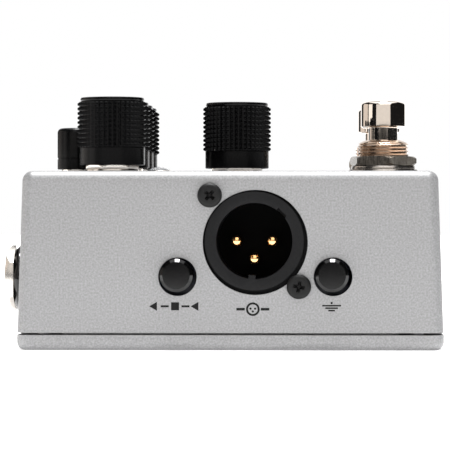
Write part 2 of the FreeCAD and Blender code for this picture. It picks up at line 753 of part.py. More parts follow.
def pot_washers():
    inner = POT_BUSHING_R + THREAD_GAP
    return group([washer(x, y, HEIGHT, POT_WASHER, POT_WASHER_R, inner) for x, y in POT_PLACES.values()])


def pot_nuts():
    inner = POT_BUSHING_R + THREAD_GAP
    low = HEIGHT + POT_WASHER
    return group([nut(x, y, low, POT_NUT, POT_NUT_AF, inner, POT_NUT_TURN) for x, y in POT_PLACES.values()])


def mini_knob():
    low = HEIGHT + MINI_LIFT
    top = low + MINI_HEIGHT
    seam = low + MINI_SKIRT
    room = MINI_SHAFT_R + FIT_GAP
    outline = [
        (MINI_RECESS_R, low), (MINI_R, low), (MINI_R, seam), (MINI_R - MINI_SEAM, seam + 0.01),
        (MINI_R - MINI_SEAM, seam + MINI_SEAM), (MINI_R, seam + MINI_SEAM + 0.01),
        (MINI_R - MINI_TAPER, top - MINI_ROUND), (MINI_R - MINI_ROUND, top), (0.0, top),
        (0.0, top - MINI_ROOF), (room, top - MINI_ROOF), (room, low + MINI_RECESS),
        (MINI_RECESS_R, low + MINI_RECESS),
    ]
    return turned(outline, MINI_X, MINI_Y)


def mini_shaft():
    rotor_low = POT_BOTTOM + POT_ROTOR_LIFT
    end = HEIGHT + MINI_LIFT + MINI_HEIGHT - MINI_ROOF - SHAFT_END_GAP
    shaft = upright(MINI_SHAFT_R, MINI_X, MINI_Y, rotor_low, end)
    return shaft.fuse(upright(MINI_ROTOR_R, MINI_X, MINI_Y, rotor_low, rotor_low + POT_ROTOR))


def mini_pot_case():
    top = HEIGHT + MINI_BUSHING_ABOVE
    return pot_case(
        MINI_X, MINI_Y, MINI_POT, MINI_POT, MINI_BUSHING_R, MINI_SHAFT_R, MINI_ROTOR_R, top
    )


def mini_nut():
    return nut(MINI_X, MINI_Y, HEIGHT, MINI_NUT, MINI_NUT_AF, MINI_BUSHING_R + THREAD_GAP, 0.0)


def foot_bushing(y):
    """Threaded bushing with the flange that bears against the top from inside."""
    top = HEIGHT + FOOT_BUSHING_ABOVE
    flange_low = CEILING - FOOT_FLANGE
    root = FOOT_BUSHING_R - FOOT_THREAD_DEPTH
    inner = FOOT_STEM_R + RUN_GAP
    outline = [(inner, flange_low), (FOOT_FLANGE_R, flange_low), (FOOT_FLANGE_R, CEILING), (root, CEILING)]
    turns = int((top - CEILING - FOOT_THREAD_END) / FOOT_THREAD_PITCH)
    for i in range(turns):
        z = CEILING + i * FOOT_THREAD_PITCH
        outline.append((root, z + FOOT_THREAD_STEP))
        outline.append((FOOT_BUSHING_R, z + 0.4 * FOOT_THREAD_PITCH))
        outline.append((FOOT_BUSHING_R, z + 0.6 * FOOT_THREAD_PITCH))
    outline += [(root, top - FOOT_COLLAR_TOP), (root, top), (inner, top)]
    return turned(outline, FOOT_X, y)


def foot_body(y):
    top = CEILING - FOOT_FLANGE
    low = top - FOOT_BODY_HEIGHT
    body = centred_block(FOOT_X, y, low, FOOT_BODY_X, FOOT_BODY_Y, FOOT_BODY_HEIGHT)
    return body.cut(upright(FOOT_CAVITY_R, FOOT_X, y, foot_cavity_floor(), top + OVERRUN))


def foot_collar_low():
    return CEILING - FOOT_FLANGE - BODY_GAP - FOOT_COLLAR


def foot_cavity_floor():
    return foot_collar_low() - FOOT_TRAVEL - FOOT_SPRING_ROOM


def foot_button(y):
    cap_low = HEIGHT + FOOT_CAP_LIFT
    cap = upright(FOOT_CAP_R, FOOT_X, y, cap_low, cap_low + FOOT_CAP)
    cap = cap.makeFillet(FOOT_CAP_ROUND, level_edges(cap, cap_low + FOOT_CAP))
    cap = cap.makeChamfer(FOOT_CAP_BEVEL, level_edges(cap, cap_low))
    collar_low = foot_collar_low()
    stem = upright(FOOT_STEM_R, FOOT_X, y, collar_low, cap_low + OVERRUN)
    collar = upright(FOOT_COLLAR_R, FOOT_X, y, collar_low, collar_low + FOOT_COLLAR)
    return cap.fuse([stem, collar])


def foot_spring(y):
    low = foot_cavity_floor() + FOOT_SPRING_WIRE_R
    high = foot_collar_low() - FOOT_SPRING_WIRE_R
    height = high - low - 2 * FOOT_SPRING_END_GAP
    pitch = height / FOOT_SPRING_TURNS
    spine = Part.makeLongHelix(pitch, height, FOOT_SPRING_R)
    ring = Part.Wire(Part.makeCircle(FOOT_SPRING_WIRE_R, Vector(FOOT_SPRING_R, 0, 0), Y_AXIS))
    spring = Part.Wire(spine).makePipeShell([ring], True, True)
    spring.translate(Vector(FOOT_X, y, low + FOOT_SPRING_END_GAP))
    return spring


def foot_lugs():
    low = CEILING - FOOT_FLANGE - FOOT_BODY_HEIGHT - LUG_LENGTH
    lugs = []
    for y in FOOT_Y.values():
        for column in (-1, 0, 1):
            for row in (-1, 1):
                x = FOOT_X + column * LUG_PITCH
                lugs.append(centred_block(x, y + row * LUG_PITCH, low, LUG_X, LUG_Y, LUG_LENGTH))
    return group(lugs)


def foot_dress_washers():
    inner = FOOT_BUSHING_R + THREAD_GAP
    return group([washer(FOOT_X, y, HEIGHT, FOOT_DRESS, FOOT_DRESS_R, inner) for y in FOOT_Y.values()])


def foot_lock_washers():
    inner = FOOT_BUSHING_R + THREAD_GAP
    low = HEIGHT + FOOT_DRESS
    return group([washer(FOOT_X, y, low, FOOT_LOCK, FOOT_LOCK_R, inner) for y in FOOT_Y.values()])


def foot_nuts():
    inner = FOOT_BUSHING_R + THREAD_GAP
    low = HEIGHT + FOOT_DRESS + FOOT_LOCK
    nuts = []
    for y, turn in zip(FOOT_Y.values(), FOOT_NUT_TURNS):
        nuts.append(nut(FOOT_X, y, low, FOOT_NUT, FOOT_NUT_AF, inner, turn))
    return group(nuts)


def jack_washer_in():
    """Where the jack's washer meets the drafted side wall, at the washer's lower edge."""
    return -outer_half(JACK_Z - JACK_WASHER_R)


def jack_body_face():
    """The jack body's face, against the inner wall at the body's top."""
    return -inner_half(2 * JACK_Z - BOARD_TOP)


def jack_bushing(y):
    mouth = -WIDTH / 2.0 - JACK_BUSHING_END
    end = jack_body_face() + JACK_BUSHING_SEAT
    bushing = rod(JACK_BUSHING_R, Vector(mouth, y, JACK_Z), Vector(end, y, JACK_Z))
    near = Vector(mouth - OVERRUN, y, JACK_Z)
    far = Vector(end + OVERRUN, y, JACK_Z)
    return bushing.cut(rod(JACK_BORE_R, near, far))


def jack_body(y):
    face = jack_body_face()
    back = face + JACK_BODY_X
    top = 2 * JACK_Z - BOARD_TOP
    body = block(face, back, y - JACK_BODY_Y / 2.0, y + JACK_BODY_Y / 2.0, BOARD_TOP, top)
    seat_end = Vector(face + JACK_BUSHING_SEAT + FIT_GAP, y, JACK_Z)
    body = body.cut(rod(JACK_BUSHING_R + FIT_GAP, Vector(face - OVERRUN, y, JACK_Z), seat_end))
    deep = back - JACK_BACK_WALL
    body = body.cut(rod(JACK_BARREL_R, Vector(face, y, JACK_Z), Vector(deep, y, JACK_Z)))
    half = CONTACT_SLOT / 2.0
    return body.cut(block(deep - JACK_SLOT_LENGTH, deep, y - half, y + half, JACK_Z, jack_slot_roof()))


def jack_slot_roof():
    return JACK_Z + JACK_BARREL_R + JACK_SLOT_ABOVE


def jack_contact(y):
    """Bent tip contact in the slot over the bore, rooted in the slot's ceiling."""
    start = jack_body_face() + JACK_BODY_X - JACK_BACK_WALL - JACK_SLOT_LENGTH
    ceiling = jack_slot_roof()
    low = ceiling - CONTACT_DIP
    end = low + CONTACT_LIFT
    outline = [
        (start + 0.5, ceiling), (start + 7.5, low), (start + 9.5, end),
        (start + 9.5, end + CONTACT_THICK), (start + 7.5, low + CONTACT_THICK),
        (start + 2.5, ceiling),
    ]
    half = CONTACT_WIDTH / 2.0
    wire = Part.makePolygon([Vector(x, y - half, z) for x, z in outline + outline[:1]])
    return Part.Face(wire).extrude(Vector(0, 2 * half, 0))


def jack_washers():
    washers = []
    inside = jack_washer_in()
    for y in JACK_Y.values():
        disc = rod(JACK_WASHER_R, Vector(inside - JACK_WASHER, y, JACK_Z), Vector(inside, y, JACK_Z))
        rim = [e for e in disc.Edges if e.BoundBox.XMax < inside - JACK_WASHER + 1e-6]
        disc = disc.makeChamfer(JACK_WASHER_BEVEL, rim)
        hole_r = JACK_BUSHING_R + THREAD_GAP
        near = Vector(inside - JACK_WASHER - OVERRUN, y, JACK_Z)
        far = Vector(inside + OVERRUN, y, JACK_Z)
        washers.append(disc.cut(rod(hole_r, near, far)))
    return group(washers)


def jack_nuts():
    nuts = []
    seat = jack_washer_in() - JACK_WASHER
    for y in JACK_Y.values():
        prism = hexagon(JACK_NUT_AF, JACK_NUT, Vector(seat, y, JACK_Z), Vector(-1, 0, 0), 0.0)
        hole_r = JACK_BUSHING_R + THREAD_GAP
        near = Vector(seat - JACK_NUT - OVERRUN, y, JACK_Z)
        far = Vector(seat + OVERRUN, y, JACK_Z)
        nuts.append(prism.cut(rod(hole_r, near, far)))
    return group(nuts)


def led_dome(radius, inner_r):
    """The part of the low dome over the light that lies between two radii."""
    top = HEIGHT + LED_DOME
    ball = Part.makeSphere(LED_DOME_R, Vector(LED_X, LED_Y, top - LED_DOME_R))
    dome = upright(radius, LED_X, LED_Y, HEIGHT, top + OVERRUN).common(ball)
    if inner_r:
        dome = dome.cut(upright(inner_r, LED_X, LED_Y, HEIGHT - OVERRUN, top + OVERRUN))
    return dome


def led_bezel():
    low = CEILING - BEZEL_DEPTH
    inner = LED_R + FIT_GAP
    bush = upright(BEZEL_BUSH_R, LED_X, LED_Y, low, HEIGHT)
    bush = bush.cut(upright(inner, LED_X, LED_Y, low - OVERRUN, HEIGHT + OVERRUN))
    return bush.fuse(led_dome(BEZEL_R, inner))


def led_lens():
    lens = upright(LED_R, LED_X, LED_Y, CEILING - LED_DEPTH, HEIGHT)
    lens = lens.fuse(led_dome(LED_R, 0.0))
    for side in (-1, 1):
        x = LED_X + side * LED_LEG_PITCH / 2.0
        lens = lens.fuse(upright(LED_LEG_R, x, LED_Y, POT_BOTTOM, CEILING - BEZEL_DEPTH))
    return lens


def dc_socket_body():
    inside = REAR - WALL
    low = DC_Z - DC_BODY / 2.0
    body = block(
        DC_X - DC_BODY / 2.0, DC_X + DC_BODY / 2.0, inside - DC_BODY_DEPTH, inside, low, low + DC_BODY
    )
    body = body.fuse(rod(DC_NOSE_R, Vector(DC_X, inside - OVERRUN, DC_Z), Vector(DC_X, REAR, DC_Z)))
    outside = Vector(DC_X, REAR + OVERRUN, DC_Z)
    body = body.cut(rod(DC_BORE_R, Vector(DC_X, REAR - DC_BORE_DEPTH, DC_Z), outside))
    back = inside - DC_BODY_DEPTH - OVERRUN
    return body.cut(rod(DC_PIN_R + FIT_GAP, Vector(DC_X, back, DC_Z), outside))


def dc_socket_pin():
    back = REAR - WALL - DC_BODY_DEPTH
    return rod(DC_PIN_R, Vector(DC_X, back, DC_Z), Vector(DC_X, REAR - DC_PIN_SETBACK, DC_Z))


def main_board():
    """Front board, with a tongue along the left wall that carries the rear jack."""
    half = inner_half(BOARD_TOP) - BOARD_SIDE_GAP
    front = FRONT + BOARD_FRONT
    tongue_back = JACK_Y["rear"] + JACK_BODY_Y / 2.0 + TONGUE_EXTRA
    tongue_right = BATTERY_X - BATTERY_WIDTH / 2.0 - TONGUE_GAP
    board = block(-half, half, front, MAIN_BOARD_BACK, BOARD_BOTTOM, BOARD_TOP)
    board = board.fuse(block(-half, tongue_right, front, tongue_back, BOARD_BOTTOM, BOARD_TOP))
    notch = POST_INSET + POST_R + POST_ROOM
    for side in (-1, 1):
        near, far = sorted((side * (WIDTH / 2.0 - notch), side * (half + OVERRUN)))
        board = board.cut(block(near, far, front - OVERRUN, FRONT + notch, 0.0, BOARD_TOP + OVERRUN))
    return board


def pot_board():
    """Control board under the pots, with a tongue to the centre knob."""
    top = POT_BOTTOM
    low = top - BOARD_THICK
    left = MINI_X - MINI_POT / 2.0 - POST_ROOM
    right = LED_X + POT_BOARD_LED_EDGE
    near = FRONT + min(KNOB_ROWS.values()) - POT_Y / 2.0 - POT_BOARD_EDGE
    far = FRONT + max(KNOB_ROWS.values()) + POT_Y / 2.0 + POT_BOARD_EDGE
    board = block(left, right, near, far, low, top)
    row = FRONT + CENTRE_KNOB_ROW
    half = POT_Y / 2.0 + POT_BOARD_TONGUE_EDGE
    tongue_end = CENTRE_KNOB_X + POT_X / 2.0 + POT_BOARD_TONGUE_EDGE
    return board.fuse(block(right - OVERRUN, tongue_end, row - half, row + half, low, top))


def header_y():
    return MAIN_BOARD_BACK - HEADER_EDGE - HEADER_Y / 2.0


def board_header():
    height = POT_BOTTOM - BOARD_THICK - BOARD_TOP
    return centred_block(KNOB_X + HEADER_SHIFT, header_y(), BOARD_TOP, HEADER_X, HEADER_Y, height)


def board_parts():
    parts = []
    first_row = INSERT_BACK + CAPACITOR_ROW
    for i in range(CAPACITORS):
        x = BATTERY_X + CAPACITOR_START + CAPACITOR_PITCH * i
        parts.append(upright(CAPACITOR_R, x, first_row, BOARD_TOP, BOARD_TOP + CAPACITOR_HEIGHT))
    for i in range(CHIPS):
        x = BATTERY_X + CHIP_START + CHIP_PITCH * i
        y = first_row + CAPACITOR_R + CHIP_Y / 2.0 + CHIP_GAP
        parts.append(centred_block(x, y, BOARD_TOP, CHIP_X, CHIP_Y, CHIP_HEIGHT))
    parts.append(board_header())
    return group(parts)


def battery():
    half = BATTERY_WIDTH / 2.0
    body = block(
        BATTERY_X - half, BATTERY_X + half, BATTERY_FRONT, BATTERY_BACK,
        BATTERY_BOTTOM, BATTERY_BOTTOM + BATTERY_HEIGHT,
    )
    long_edges = [e for e in body.Edges if e.BoundBox.YLength > BATTERY_LENGTH / 2.0]
    body = body.makeFillet(BATTERY_CORNER_R, long_edges)
    z = BATTERY_BOTTOM + BATTERY_HEIGHT / 2.0
    for x, radius in battery_terminals():
        root = Vector(x, BATTERY_FRONT + OVERRUN, z)
        body = body.fuse(rod(radius, Vector(x, BATTERY_FRONT - TERMINAL, z), root))
    return body


def battery_terminals():
    return [
        (BATTERY_X - TERMINAL_X, TERMINAL_R["small"]),
        (BATTERY_X + TERMINAL_X, TERMINAL_R["large"]),
    ]


def battery_snap():
    z = BATTERY_BOTTOM + BATTERY_HEIGHT / 2.0
    half = BATTERY_WIDTH / 2.0 - SNAP_INSET
    snap = block(
        BATTERY_X - half, BATTERY_X + half, SNAP_FRONT, BATTERY_FRONT - SNAP_GAP,
        z - SNAP_HEIGHT / 2.0, z + SNAP_HEIGHT / 2.0,
    )
    for x, radius in battery_terminals():
        deep = Vector(x, BATTERY_FRONT - TERMINAL - THREAD_GAP, z)
        snap = snap.cut(rod(radius + FIT_GAP, deep, Vector(x, BATTERY_FRONT, z)))
    return snap


def battery_leads():
    z = BATTERY_BOTTOM + BATTERY_HEIGHT / 2.0
    leads = []
    for x, _ in battery_terminals():
        down = MAIN_BOARD_BACK - LEAD_BEND
        points = [Vector(x, SNAP_FRONT, z), Vector(x, down, z), Vector(x, down, BOARD_TOP)]
        leads.append(lead(points, LEAD_BEND))
    return leads


def battery_foam():
    half = BATTERY_WIDTH / 2.0 - FOAM_INSET
    return block(
        BATTERY_X - half, BATTERY_X + half, BATTERY_FRONT + FOAM_INSET, BATTERY_BACK - FOAM_INSET,
        BASE_THICK, BATTERY_BOTTOM,
    )


def hookup_leads():
    """Battery leads, foot switch leads along the base plate, and leads from the power socket."""
    leads = battery_leads()
    lug_low = CEILING - FOOT_FLANGE - FOOT_BODY_HEIGHT - LUG_LENGTH
    floor = BASE_THICK + LEAD_R + THREAD_GAP
    for name in FOOT_Y:
        x = FOOT_X + LEAD_COLUMN[name] * LUG_PITCH
        y = FOOT_Y[name] + LUG_PITCH
        rise = MAIN_BOARD_BACK - LEAD_RISE[name]
        points = [
            Vector(x, y, lug_low), Vector(x, y, floor), Vector(x, rise, floor),
            Vector(x, rise, BOARD_BOTTOM),
        ]
        leads.append(lead(points, BOARD_BOTTOM - floor - 2 * THREAD_GAP))
    back = REAR - WALL - DC_BODY_DEPTH
    z = DC_Z - DC_BODY / 2.0 + LEAD_BEND
    down = JACK_Y["rear"] + JACK_BODY_Y / 2.0 + LEAD_BEND
    for side in (-1, 1):
        x = DC_X + side * LEAD_PITCH / 2.0
        leads.append(lead([Vector(x, back, z), Vector(x, down, z), Vector(x, down, BOARD_TOP)], LEAD_BEND))
    return group(leads)


def build():
    os.makedirs("parts", exist_ok=True)
    save("enclosure_shell", enclosure_shell())
    save("base_plate", base_plate())
    save("base_screws", base_screws())
    save("xlr_housing", xlr_housing())
    save("xlr_insert", xlr_insert())
    save("xlr_pins", xlr_pins())
    save("xlr_screws", xlr_screws())
    save("push_switches", push_switches())
    for side, x in PUSH_X.items():
        save("push_plunger_" + side, push_plunger(x))
        save("push_cap_" + side, push_cap(x))
    for name in POT_PLACES:
        save("knob_" + name, knob(name))
        save("knob_pointer_" + name, pointer_block(name, 0.0, POINTER_GAP))
        save("pot_shaft_" + name, pot_shaft(name))
    save("pot_cases", pot_cases())
    save("pot_washers", pot_washers())
    save("pot_nuts", pot_nuts())
    save("small_knob", mini_knob())
    save("small_pot_shaft", mini_shaft())
    save("small_pot_case", mini_pot_case())
    save("small_pot_nut", mini_nut())
    for name, y in FOOT_Y.items():
        save("foot_button_" + name, foot_button(y))
        save("foot_spring_" + name, foot_spring(y))
    save("foot_bushings", group([foot_bushing(y) for y in FOOT_Y.values()]))
    save("foot_switch_bodies", group([foot_body(y) for y in FOOT_Y.values()]))
    save("foot_switch_lugs", foot_lugs())
    save("foot_dress_washers", foot_dress_washers())
    save("foot_lock_washers", foot_lock_washers())
    save("foot_nuts", foot_nuts())
    save("jack_bushings", group([jack_bushing(y) for y in JACK_Y.values()]))
    save("jack_bodies", group([jack_body(y) for y in JACK_Y.values()]))
    save("jack_contacts", group([jack_contact(y) for y in JACK_Y.values()]))
    save("jack_washers", jack_washers())
    save("jack_nuts", jack_nuts())
    save("led_bezel", led_bezel())
    save("led_lens", led_lens())
    save("dc_socket_body", dc_socket_body())
    save("dc_socket_pin", dc_socket_pin())
    save("main_board", main_board())
    save("pot_board", pot_board())
    save("board_parts", board_parts())
    save("battery", battery())
    save("battery_snap", battery_snap())
    save("battery_foam", battery_foam())
    save("hookup_leads", hookup_leads())


build()
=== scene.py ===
import math

import bmesh
import bpy
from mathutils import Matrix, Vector
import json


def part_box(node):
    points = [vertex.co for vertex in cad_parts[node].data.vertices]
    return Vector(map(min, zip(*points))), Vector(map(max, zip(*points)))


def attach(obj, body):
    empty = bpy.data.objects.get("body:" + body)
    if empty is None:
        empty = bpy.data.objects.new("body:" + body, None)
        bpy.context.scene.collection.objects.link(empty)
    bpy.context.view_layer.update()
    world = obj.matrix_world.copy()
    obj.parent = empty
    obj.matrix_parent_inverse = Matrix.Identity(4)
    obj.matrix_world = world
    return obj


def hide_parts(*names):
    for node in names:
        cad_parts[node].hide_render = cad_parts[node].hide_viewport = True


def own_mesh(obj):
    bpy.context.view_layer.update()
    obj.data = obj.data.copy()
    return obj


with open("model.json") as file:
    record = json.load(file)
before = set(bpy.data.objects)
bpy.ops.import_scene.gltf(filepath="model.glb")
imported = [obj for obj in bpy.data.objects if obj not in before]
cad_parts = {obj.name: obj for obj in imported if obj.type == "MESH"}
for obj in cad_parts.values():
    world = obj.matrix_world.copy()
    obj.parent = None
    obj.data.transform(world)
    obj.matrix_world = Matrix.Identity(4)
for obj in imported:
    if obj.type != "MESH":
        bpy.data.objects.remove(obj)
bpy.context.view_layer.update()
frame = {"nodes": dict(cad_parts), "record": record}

MM = 0.001
bpy.ops.object.select_all(action="DESELECT")

# ==== Camera, floor and studio lights =====================================================
# The box is seen square on from its connector end, a little below the tops of its controls.
# It stands on a pale sweep, under a large overhead softbox, with walls of light in front and
# behind, and two strips on its left.
panel_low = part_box("enclosure_shell")[0]
CAMERA_X = 17.4 * MM
CAMERA_UP = 27.3 * MM
CAMERA_BACK = 620.0 * MM
FILM_WIDTH_MM = 36.0
LENS_MM = 234.0
LOOK_DOWN_DEG = 0.06
TURN_LEFT_DEG = 1.70
camera_data = bpy.data.cameras.new("camera")
camera_data.sensor_width = FILM_WIDTH_MM
camera_data.lens = LENS_MM
camera_data.clip_start = 0.01
camera_data.clip_end = 20.0
camera = bpy.data.objects.new("camera", camera_data)
bpy.context.scene.collection.objects.link(camera)
camera.location = (CAMERA_X, panel_low.y - CAMERA_BACK, CAMERA_UP)
camera.rotation_euler = (math.radians(90.0 - LOOK_DOWN_DEG), 0.0, math.radians(TURN_LEFT_DEG))
bpy.context.scene.camera = camera
bpy.context.scene.view_settings.view_transform = "Standard"

# The sweep starts a little in front of the box, so that upright gloss faces reflect dark.
FLOOR_SIZE = 6.0
FLOOR_AHEAD = 0.65
FLOOR_GLOW = 0.70
bpy.ops.mesh.primitive_plane_add(
    size=FLOOR_SIZE, location=(0.0, FLOOR_SIZE / 2.0 - FLOOR_AHEAD, 0.0)
)
floor = bpy.context.object
floor.name = "floor"
floor_paper = bpy.data.materials.new("floor_paper")
floor_paper.use_nodes = True
floor_shader = floor_paper.node_tree.nodes["Principled BSDF"]
floor_shader.inputs["Base Color"].default_value = (0.75, 0.75, 0.75, 1.0)
floor_shader.inputs["Emission Color"].default_value = (1.0, 1.0, 1.0, 1.0)
floor_shader.inputs["Emission Strength"].default_value = FLOOR_GLOW
floor_shader.inputs["Roughness"].default_value = 0.9
floor.data.materials.append(floor_paper)

# The room is dark to the object's gloss and white to the camera.
ROOM_GLOW = 0.012
world = bpy.data.worlds.new("studio")
bpy.context.scene.world = world
world.use_nodes = True
world_nodes = world.node_tree.nodes
world_links = world.node_tree.links
room_light = world_nodes["Background"]
room_light.inputs["Color"].default_value = (0.9, 0.92, 0.95, 1.0)
room_light.inputs["Strength"].default_value = ROOM_GLOW
white_wall = world_nodes.new("ShaderNodeBackground")
white_wall.inputs["Color"].default_value = (1.0, 1.0, 1.0, 1.0)
white_wall.inputs["Strength"].default_value = 1.0
ray = world_nodes.new("ShaderNodeLightPath")
choice = world_nodes.new("ShaderNodeMixShader")
world_links.new(ray.outputs["Is Camera Ray"], choice.inputs[0])
world_links.new(room_light.outputs[0], choice.inputs[1])
world_links.new(white_wall.outputs[0], choice.inputs[2])
world_links.new(choice.outputs[0], world_nodes["World Output"].inputs["Surface"])


def softbox(name, place, aim, width, height, glow, tint=(1.0, 1.0, 1.0)):
    """A rectangular light that looks equally bright, at glow, from wherever it is seen."""
    lamp = bpy.data.lights.new(name, "AREA")
    lamp.shape = "RECTANGLE"
    lamp.size = width
    lamp.size_y = height
    lamp.energy = glow * math.pi * width * height
    lamp.color = tint
    stand = bpy.data.objects.new(name, lamp)
    bpy.context.scene.collection.objects.link(stand)
    stand.location = place
    stand.rotation_euler = (Vector(aim) - Vector(place)).to_track_quat("-Z", "Y").to_euler()
    stand.visible_camera = False
    return stand


softbox(
    "front_wall", place=(0.02, -1.30, 0.465), aim=(0.02, 0.0, 0.465), width=1.96, height=0.715,
    glow=0.85, tint=(1.0, 0.96, 0.92),
)
softbox(
    "overhead", place=(0.03, 0.10, 0.90), aim=(0.03, 0.0, 0.0), width=1.00, height=1.00, glow=1.5,
)
softbox(
    "front_top", place=(0.18, -0.72, 0.82), aim=(0.02, -0.06, 0.03), width=1.10, height=0.80,
    glow=1.7,
)
softbox(
    "left_strip", place=(-0.82, -0.29, 0.26), aim=(0.034, 0.0, 0.26), width=0.36, height=0.50,
    glow=1.2, tint=(1.0, 0.95, 0.90),
)
softbox(
    "left_rear_strip", place=(-0.83, 0.27, 0.26), aim=(0.034, 0.0, 0.26), width=0.62, height=0.50,
    glow=0.8, tint=(1.0, 0.90, 0.82),
)
softbox(
    "back_wall", place=(0.034, 1.00, 0.42), aim=(0.034, 0.0, 0.42), width=1.16, height=0.82,
    glow=1.2,
)
overhead_sun = bpy.data.lights.new("overhead_sun", "SUN")
overhead_sun.energy = 6.0
overhead_sun.angle = math.radians(20.0)
sun_stand = bpy.data.objects.new("overhead_sun", overhead_sun)
bpy.context.scene.collection.objects.link(sun_stand)
sun_stand.rotation_euler = (math.radians(-4.0), math.radians(2.0), 0.0)

# ==== Cast enclosure and its lid ==========================================================
# A die-cast aluminium box with drafted sides, sprayed with a fine metallic silver-grey paint,
# closed from below by a cast lid in the same paint. A thin shadow gap shows between the two.


def finish(
    name, colour, roughness, metallic=0.0, grain_mm=0.4, grain_um=2.0, mottle=0.06, coat=0.0,
    wear=0.05, specular=0.5, streak=(1.0, 1.0, 1.0),
):
    """A material with a fine surface grain, slight colour mottling and uneven gloss.

    The grain gives the mottling and the bumps. Streak below one draws it out along an axis.
    """
    made = bpy.data.materials.new(name)
    made.use_nodes = True
    nodes = made.node_tree.nodes
    links = made.node_tree.links
    shader = nodes["Principled BSDF"]
    shader.inputs["Metallic"].default_value = metallic
    shader.inputs["Specular IOR Level"].default_value = specular
    shader.inputs["Coat Weight"].default_value = coat
    shader.inputs["Coat Roughness"].default_value = 0.12
    place = nodes.new("ShaderNodeTexCoord")
    grain = nodes.new("ShaderNodeTexNoise")
    grain.inputs["Scale"].default_value = 1.0 / (grain_mm * MM)
    grain.inputs["Detail"].default_value = 3.0
    patches = nodes.new("ShaderNodeTexNoise")
    patches.inputs["Scale"].default_value = 120.0
    patches.inputs["Detail"].default_value = 4.0
    stretch = nodes.new("ShaderNodeMapping")
    stretch.inputs["Scale"].default_value = streak
    links.new(place.outputs["Object"], stretch.inputs["Vector"])
    links.new(stretch.outputs["Vector"], grain.inputs["Vector"])
    links.new(place.outputs["Object"], patches.inputs["Vector"])
    tone = nodes.new("ShaderNodeMix")
    tone.data_type = "RGBA"
    tone.inputs["A"].default_value = [c * (1.0 - mottle) for c in colour] + [1.0]
    tone.inputs["B"].default_value = [min(1.0, c * (1.0 + mottle)) for c in colour] + [1.0]
    contrast = nodes.new("ShaderNodeMapRange")
    contrast.inputs["From Min"].default_value = 0.3
    contrast.inputs["From Max"].default_value = 0.7
    links.new(grain.outputs["Fac"], contrast.inputs["Value"])
    links.new(contrast.outputs["Result"], tone.inputs["Factor"])
    links.new(tone.outputs["Result"], shader.inputs["Base Color"])
    gloss = nodes.new("ShaderNodeMapRange")
    gloss.inputs["To Min"].default_value = max(0.02, roughness - wear)
    gloss.inputs["To Max"].default_value = min(1.0, roughness + wear)
    links.new(patches.outputs["Fac"], gloss.inputs["Value"])
    links.new(gloss.outputs["Result"], shader.inputs["Roughness"])
    bump = nodes.new("ShaderNodeBump")
    bump.inputs["Strength"].default_value = 1.0
    bump.inputs["Distance"].default_value = grain_um * 1e-6
    links.new(grain.outputs["Fac"], bump.inputs["Height"])
    links.new(bump.outputs["Normal"], shader.inputs["Normal"])
    return made


def solo(piece):
    """Makes one object the only selected and the active one."""
    bpy.ops.object.select_all(action="DESELECT")
    piece.select_set(True)
    bpy.context.view_layer.objects.active = piece


def belongs(piece, node, material, name=None):
    """Gives a piece its material and name, and lets it ride with the body of its CAD node."""
    piece.data.materials.clear()
    piece.data.materials.append(material)
    piece.name = name or node + "_piece"
    piece.data.name = piece.name
    record = frame["record"]
    body = next(b for b, members in record["behaviour"]["bodies"].items() if node in members)
    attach(piece, body)


WELD = 0.002 * MM


def refined(node, material, bevel_mm=0.0, angle=35.0):
    """A welded, smooth-shaded copy of a CAD node with softened edges, in place of the node."""
    source = frame["nodes"][node]
    piece = bpy.data.objects.new(node + "_piece", source.data.copy())
    bpy.context.scene.collection.objects.link(piece)
    solo(piece)
    bpy.ops.object.mode_set(mode="EDIT")
    bpy.ops.mesh.customdata_custom_splitnormals_clear()
    bpy.ops.mesh.select_all(action="SELECT")
    bpy.ops.mesh.remove_doubles(threshold=WELD)
    bpy.ops.object.mode_set(mode="OBJECT")
    if bevel_mm:
        soften = piece.modifiers.new("soften", "BEVEL")
        soften.width = bevel_mm * MM
        soften.segments = 2
        soften.limit_method = "ANGLE"
        soften.angle_limit = math.radians(angle)
        bpy.ops.object.modifier_apply(modifier="soften")
    bpy.ops.object.shade_smooth_by_angle(angle=math.radians(angle))
    belongs(piece, node, material)
    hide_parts(node)
    return piece


silver_paint = finish(
    "silver_paint", (0.272, 0.272, 0.276), roughness=0.42, metallic=0.35, grain_mm=0.40,
    grain_um=5.0, mottle=0.19,
)
shell = refined("enclosure_shell", silver_paint)
lid = refined("base_plate", silver_paint)
# The joint between the two halves is opened evenly, above and below where they meet.
SHADOW_GAP = 0.40 * MM
shell_foot = min(corner.co.z for corner in shell.data.vertices)
for half, side in ((shell, 1.0), (lid, -1.0)):
    for corner in half.data.vertices:
        if abs(corner.co.z - shell_foot) < 0.01 * MM:
            corner.co.z += side * SHADOW_GAP / 2.0
zinc = finish(
    "zinc_plate", (0.62, 0.62, 0.63), roughness=0.32, metallic=1.0, grain_mm=0.5, grain_um=1.5,
    mottle=0.08,
)
refined("base_screws", zinc, 0.05)

# ==== Printed marks on the connector end ==================================================
# Small black marks printed under the two push buttons and the connector. They are plain
# signal symbols: ahead and behind a stage, a three-pin socket, and a lifted ground.
INK = 0.02 * MM
black_ink = finish(
    "black_ink", (0.008, 0.008, 0.008), roughness=0.5, grain_mm=0.2, grain_um=1.0, mottle=0.2,
    specular=0.12,
)
face_y = panel_low.y


def ink_bar(x, z, width, height):
    """A bar of ink that lies on the end panel."""
    bpy.ops.mesh.primitive_cube_add(size=1.0, location=(x, face_y - INK / 2.0, z))
    bar = bpy.context.object
    bar.scale = (width, INK, height)
    bpy.ops.object.transform_apply(location=True, rotation=True, scale=True)
    return bar


